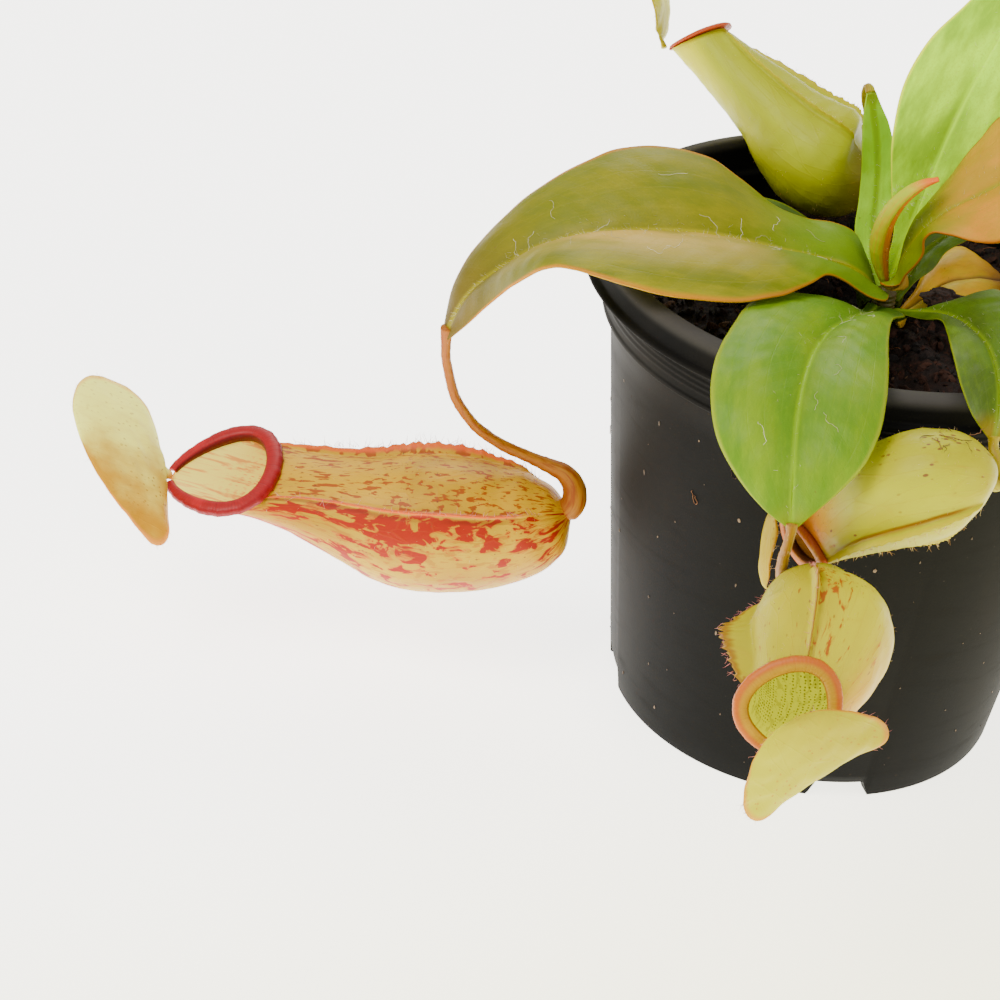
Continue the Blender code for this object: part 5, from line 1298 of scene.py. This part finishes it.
def lidMaterial(name, shades):
    f = Finish(name, 0.15, (0.02, 0.4), (0.15, (1, 0.8, 0.35), 0.002))
    edge, along, side, skin = f.mark("edge"), f.mark("along"), f.mark("side"), f.mark("skin", "Vector")
    cloud = f.noise(skin, 6, 4)
    fine = f.noise(skin, 0.9, 4, 0.6)
    veins = f.cracks(f.stretch(skin, 0.35, 1, 1), 2.4).rise(0.06, 0)
    dots = f.cells(f.shift(skin, 1, 4, 2), 0.9).rise(0.26, 0.14) * cloud.rise(0.34, 0.54)
    colour = f.layers(shades["top"],
                      ((side * 0.5 + 0.5 + (cloud - 0.5) * 0.9).rise(0.90, 0), shades["low"]),
                      (veins * 0.08, shades["low"]), (edge.rise(0.90, 0.99) * 0.6, shades["margin"]),
                      (dots * (along.rise(0.9, 0.15) * 0.8 + 0.15), shades["dots"]),
                      (along.rise(0.14, 0.02) * 0.5, shades["margin"]))
    return f.join(colour, 0.40 + fine * 0.18, fine * 0.4 + veins * 0.5 + cloud * 0.3, 0.45, 0.14)


def lidHairs(name, c, seed):
    # hairs round the lid's margin
    count = lid["hairs"]
    rng = np.random.default_rng(seed)
    grid, *_ = lidGrid(c)
    rows = rng.uniform(18, len(grid) - 4, count)
    edge = np.where(rng.uniform(size=count) < 0.5, 0, grid.shape[1] - 1.001)
    roots = readGrid(grid, rows, edge)
    middle = readGrid(grid, rows, np.full(count, lid["half"]))
    return makeHairs(name, roots, unit(roots - middle) + 0.5 * rng.normal(size=(count, 3)),
                     rng.uniform(0.4, 1.1, count), 0.035, 0.5, seed + 1)


# bark chip

chip = {"centre": (13, 0.9, 84.9), "size": (4.8, 3.2, 1), "turn": (0.12, 0.10, 0.5),
        "dark": (20, 14, 11), "warm": (64, 38, 26), "crack": (16, 11, 9)}


def makeChip():
    # a flattened ball, pushed in and out by soft noise and cut into flat layers
    high = np.linspace(0, math.pi, 42)[1:-1, None]
    turn = np.linspace(0, fullTurn, 72, endpoint=False)
    ball = pack(np.sin(high) * np.cos(turn), np.sin(high) * np.sin(turn), np.cos(high))
    rough = 1 + 0.16 * ripple(ball * 4, 3.4, 61) + 0.05 * ripple(ball * 4, 0.9, 62)
    lump = ball * rough[..., None] * chip["size"]
    lump[..., 2] = lump[..., 2] * (1 + 0.25 * np.sign(ripple(lump, 2.6, 63)))
    return makeTube("barkFlake", lump @ np.array(Euler(chip["turn"]).to_matrix()).T + chip["centre"])


def barkMaterial():
    f = Finish("bark", 0.3)
    spot = f.place()
    grain = f.noise(f.stretch(spot, 0.5, 1.6, 3), 1.1, 6, 0.65, 0.5)
    flakes = f.cracks(f.stretch(spot, 0.6, 1, 2), 1.4)
    colour = f.layers(chip["dark"], (grain.rise(0.38, 0.68), chip["warm"]),
                      (flakes.rise(0.08, 0) * 0.7, chip["crack"]))
    return f.join(colour, 0.7 + grain * 0.25, grain * 0.7 + flakes * 0.8, 0.9, 0.35)


# putting the pieces together

print("pot and soil")
brownFibre = fibreMaterial("brownFibre", (60, 36, 22), (128, 84, 52))
whiteHair = fibreMaterial("whiteHair", (190, 184, 140), (240, 236, 204))
pinkHair = fibreMaterial("pinkHair", (168, 84, 92), (226, 150, 140))
goldHair = fibreMaterial("goldHair", (190, 140, 80), (236, 214, 160))
crumbShade = crumbMaterial()
finishPiece(makePot(), potMaterial(), "pot", "pot")
finishPiece(makePotSpecks(), fibreMaterial("dust", (66, 54, 44), (118, 98, 80)), "pot")
finishPiece(makePotFibres(), brownFibre, "pot")
finishPiece(makeSoil(), soilMaterial(), "soil", "soil")
finishPiece(makeSoilCrumbs(), crumbShade, "soil")
finishPiece(makeSoilChips(), crumbShade, "soil")
finishPiece(makeSoilFibres(), brownFibre, "soil")
finishPiece(makeStem(), stalkMaterial("stemGreen", *stem["bark"]), "stem", "stem")

print("leaves")
for number, (place, leaf) in enumerate(leaves.items()):
    name, slot = "leaf" + place.capitalize(), leaf["slot"]
    finishPiece(makeBlade(name + "Blade", leaf), leafMaterial(name + "Skin", leaf), slot, "leaf_" + place)
    if leaf["hairs"]:
        finishPiece(bladeHairs(name + "Hairs", leaf, 100 + 7 * number), whiteHair, slot)
finishPiece(bladeFibres("leafLeftFibres", leaves["left"], 18, 71), whiteHair, "leaf_olive")
finishPiece(bladeFibres("leafFrontFibres", leaves["front"], 12, 72), whiteHair, "leaf_green")
finishPiece(makeShoot(), stalkMaterial("shootSkin", shoot["body"], shoot["stripe"], shoot["tip"], 0.3),
            "leaf_shoot", "leaf_shoot")
finishPiece(stalkHairs("shootHairs", shoot["path"], 2, 160, 81), whiteHair, "leaf_shoot")

print("tendrils")
for number, (place, t) in enumerate(tendrils.items()):
    name, slot = "tendril" + place.capitalize(), t["slot"]
    finishPiece(makeTendril(name, t), stalkMaterial(name + "Skin", t["body"], t["side"]), slot,
                "tendril_" + place)
    finishPiece(stalkHairs(name + "Hairs", t["path"], t["thin"], 90, 83 + number, (0.25, 0.6)), goldHair, slot)

print("pitchers")
for number, (place, c) in enumerate(cups.items()):
    title, slot = place.capitalize(), c["slot"]
    finishPiece(makeCup("pitcher" + title, c), cupMaterial("pitcher" + title + "Skin", c), slot,
                "pitcher_" + place)
    finishPiece(makeRim("peristome" + title, c), rimMaterial("peristome" + title + "Skin", c["rim"]),
                c["rimSlot"], "peristome_" + place)
    finishPiece(makeLid("lid" + title, c), lidMaterial("lid" + title + "Skin", c["lidSkin"]), "lid",
                "lid_" + place)
    fringeHair, lidHair = [pinkHair if pink else goldHair for pink in c["pinkHairs"]]
    finishPiece(wingHairs("wingHairs" + title, c, 300 + number), fringeHair, slot)
    finishPiece(skinHairs("down" + title, c, 500, 320 + number), goldHair, slot)
    finishPiece(lidHairs("lidHairs" + title, c, 340 + number), lidHair, "lid")

print("fibres on the right pitcher and bark chip")
finishPiece(skinFibres("cupFibres", cups["right"], 16, 91), brownFibre, "cup_yellow")
finishPiece(makeChip(), barkMaterial(), "bark", "bark_chip")


# floor, light and camera

stage = {
    "eye": (-62.2, -398.5, 291.5), "elevation": 33, "roll": 6.34, "lens": 90.2,
    "floor": (248, 247, 244), "floorGrain": (236, 232, 224), "floorPaintedShade": (228, 222, 160),
    # the third colour on the next line is painted shade for the floor's front right
    "floorSize": 6, "floorGlow": 3.7, "sky": (255, 253, 249), "skyPower": 0.78,
}
lamps = {  # place, aim, size, power, colour
    "keyLight": ((-0.55, -0.35, 0.95), (-0.02, 0, 0.06), 0.55, 10, (255, 250, 240)),
    "fillLight": ((0.75, -0.55, 0.60), (0, 0, 0.05), 0.60, 4, (255, 246, 232)),
    "rearLight": ((-0.10, 0.80, 0.70), (0, 0, 0.08), 0.50, 4, (255, 252, 246)),
}


def floorMaterial():
    f = Finish("paleFloor", 0.2, glow=stage["floorGlow"])
    spot = f.place()
    x, y, _ = f.parts(spot)
    grain = f.noise(spot, 3, 2)
    colour = f.layers(stage["floor"], (grain * 0.02, stage["floorGrain"]),
                      # painted shade: the floor is painted darker and warmer towards the front right
                      ((x * 0.6 - y).rise(-60, 220) * 0.9, stage["floorPaintedShade"]))
    f.link(colour, "Emission Color")
    return f.join(colour, 0.85 + grain * 0.02)


def makeFloor():
    half = stage["floorSize"] * 500
    points = [(-half, -half, 0), (half, -half, 0), (half, half, 0), (-half, half, 0)]
    made = makeMesh("floor", points, np.array([(0, 1, 2, 3)]), smooth=False, outward=False)
    made.data.materials.append(floorMaterial())
    return made


def placed(name, data):
    made = bpy.data.objects.new(name, data)
    bpy.context.scene.collection.objects.link(made)
    return made


def addLight(name, place, aim, size, power, shade):
    lamp = bpy.data.lights.new(name, "AREA")
    lamp.shape, lamp.size, lamp.energy, lamp.color = "DISK", size, power, paint(shade)[:3]
    made = placed(name, lamp)
    made.location = place
    made.rotation_euler = (Vector(aim) - Vector(place)).to_track_quat("-Z", "Y").to_euler()


def addCamera():
    # turned up from straight down by the elevation, then rolled about its own line of sight
    lens = bpy.data.cameras.new("camera")
    lens.lens, lens.sensor_width, lens.clip_start = stage["lens"], 36, 0.01
    camera = placed("camera", lens)
    camera.matrix_world = (Matrix.Translation(Vector(stage["eye"]) * mm)
                           @ Matrix.Rotation(math.radians(90 - stage["elevation"]), 4, "X")
                           @ Matrix.Rotation(math.radians(stage["roll"]), 4, "Z"))
    bpy.context.scene.camera = camera


print("floor, light and camera")
makeFloor()
world = bpy.data.worlds.new("studio")
world.use_nodes = True
world.node_tree.nodes["Background"].inputs["Color"].default_value = paint(stage["sky"])
world.node_tree.nodes["Background"].inputs["Strength"].default_value = stage["skyPower"]
bpy.context.scene.world = world
for name, settings in lamps.items():
    addLight(name, *settings)
addCamera()
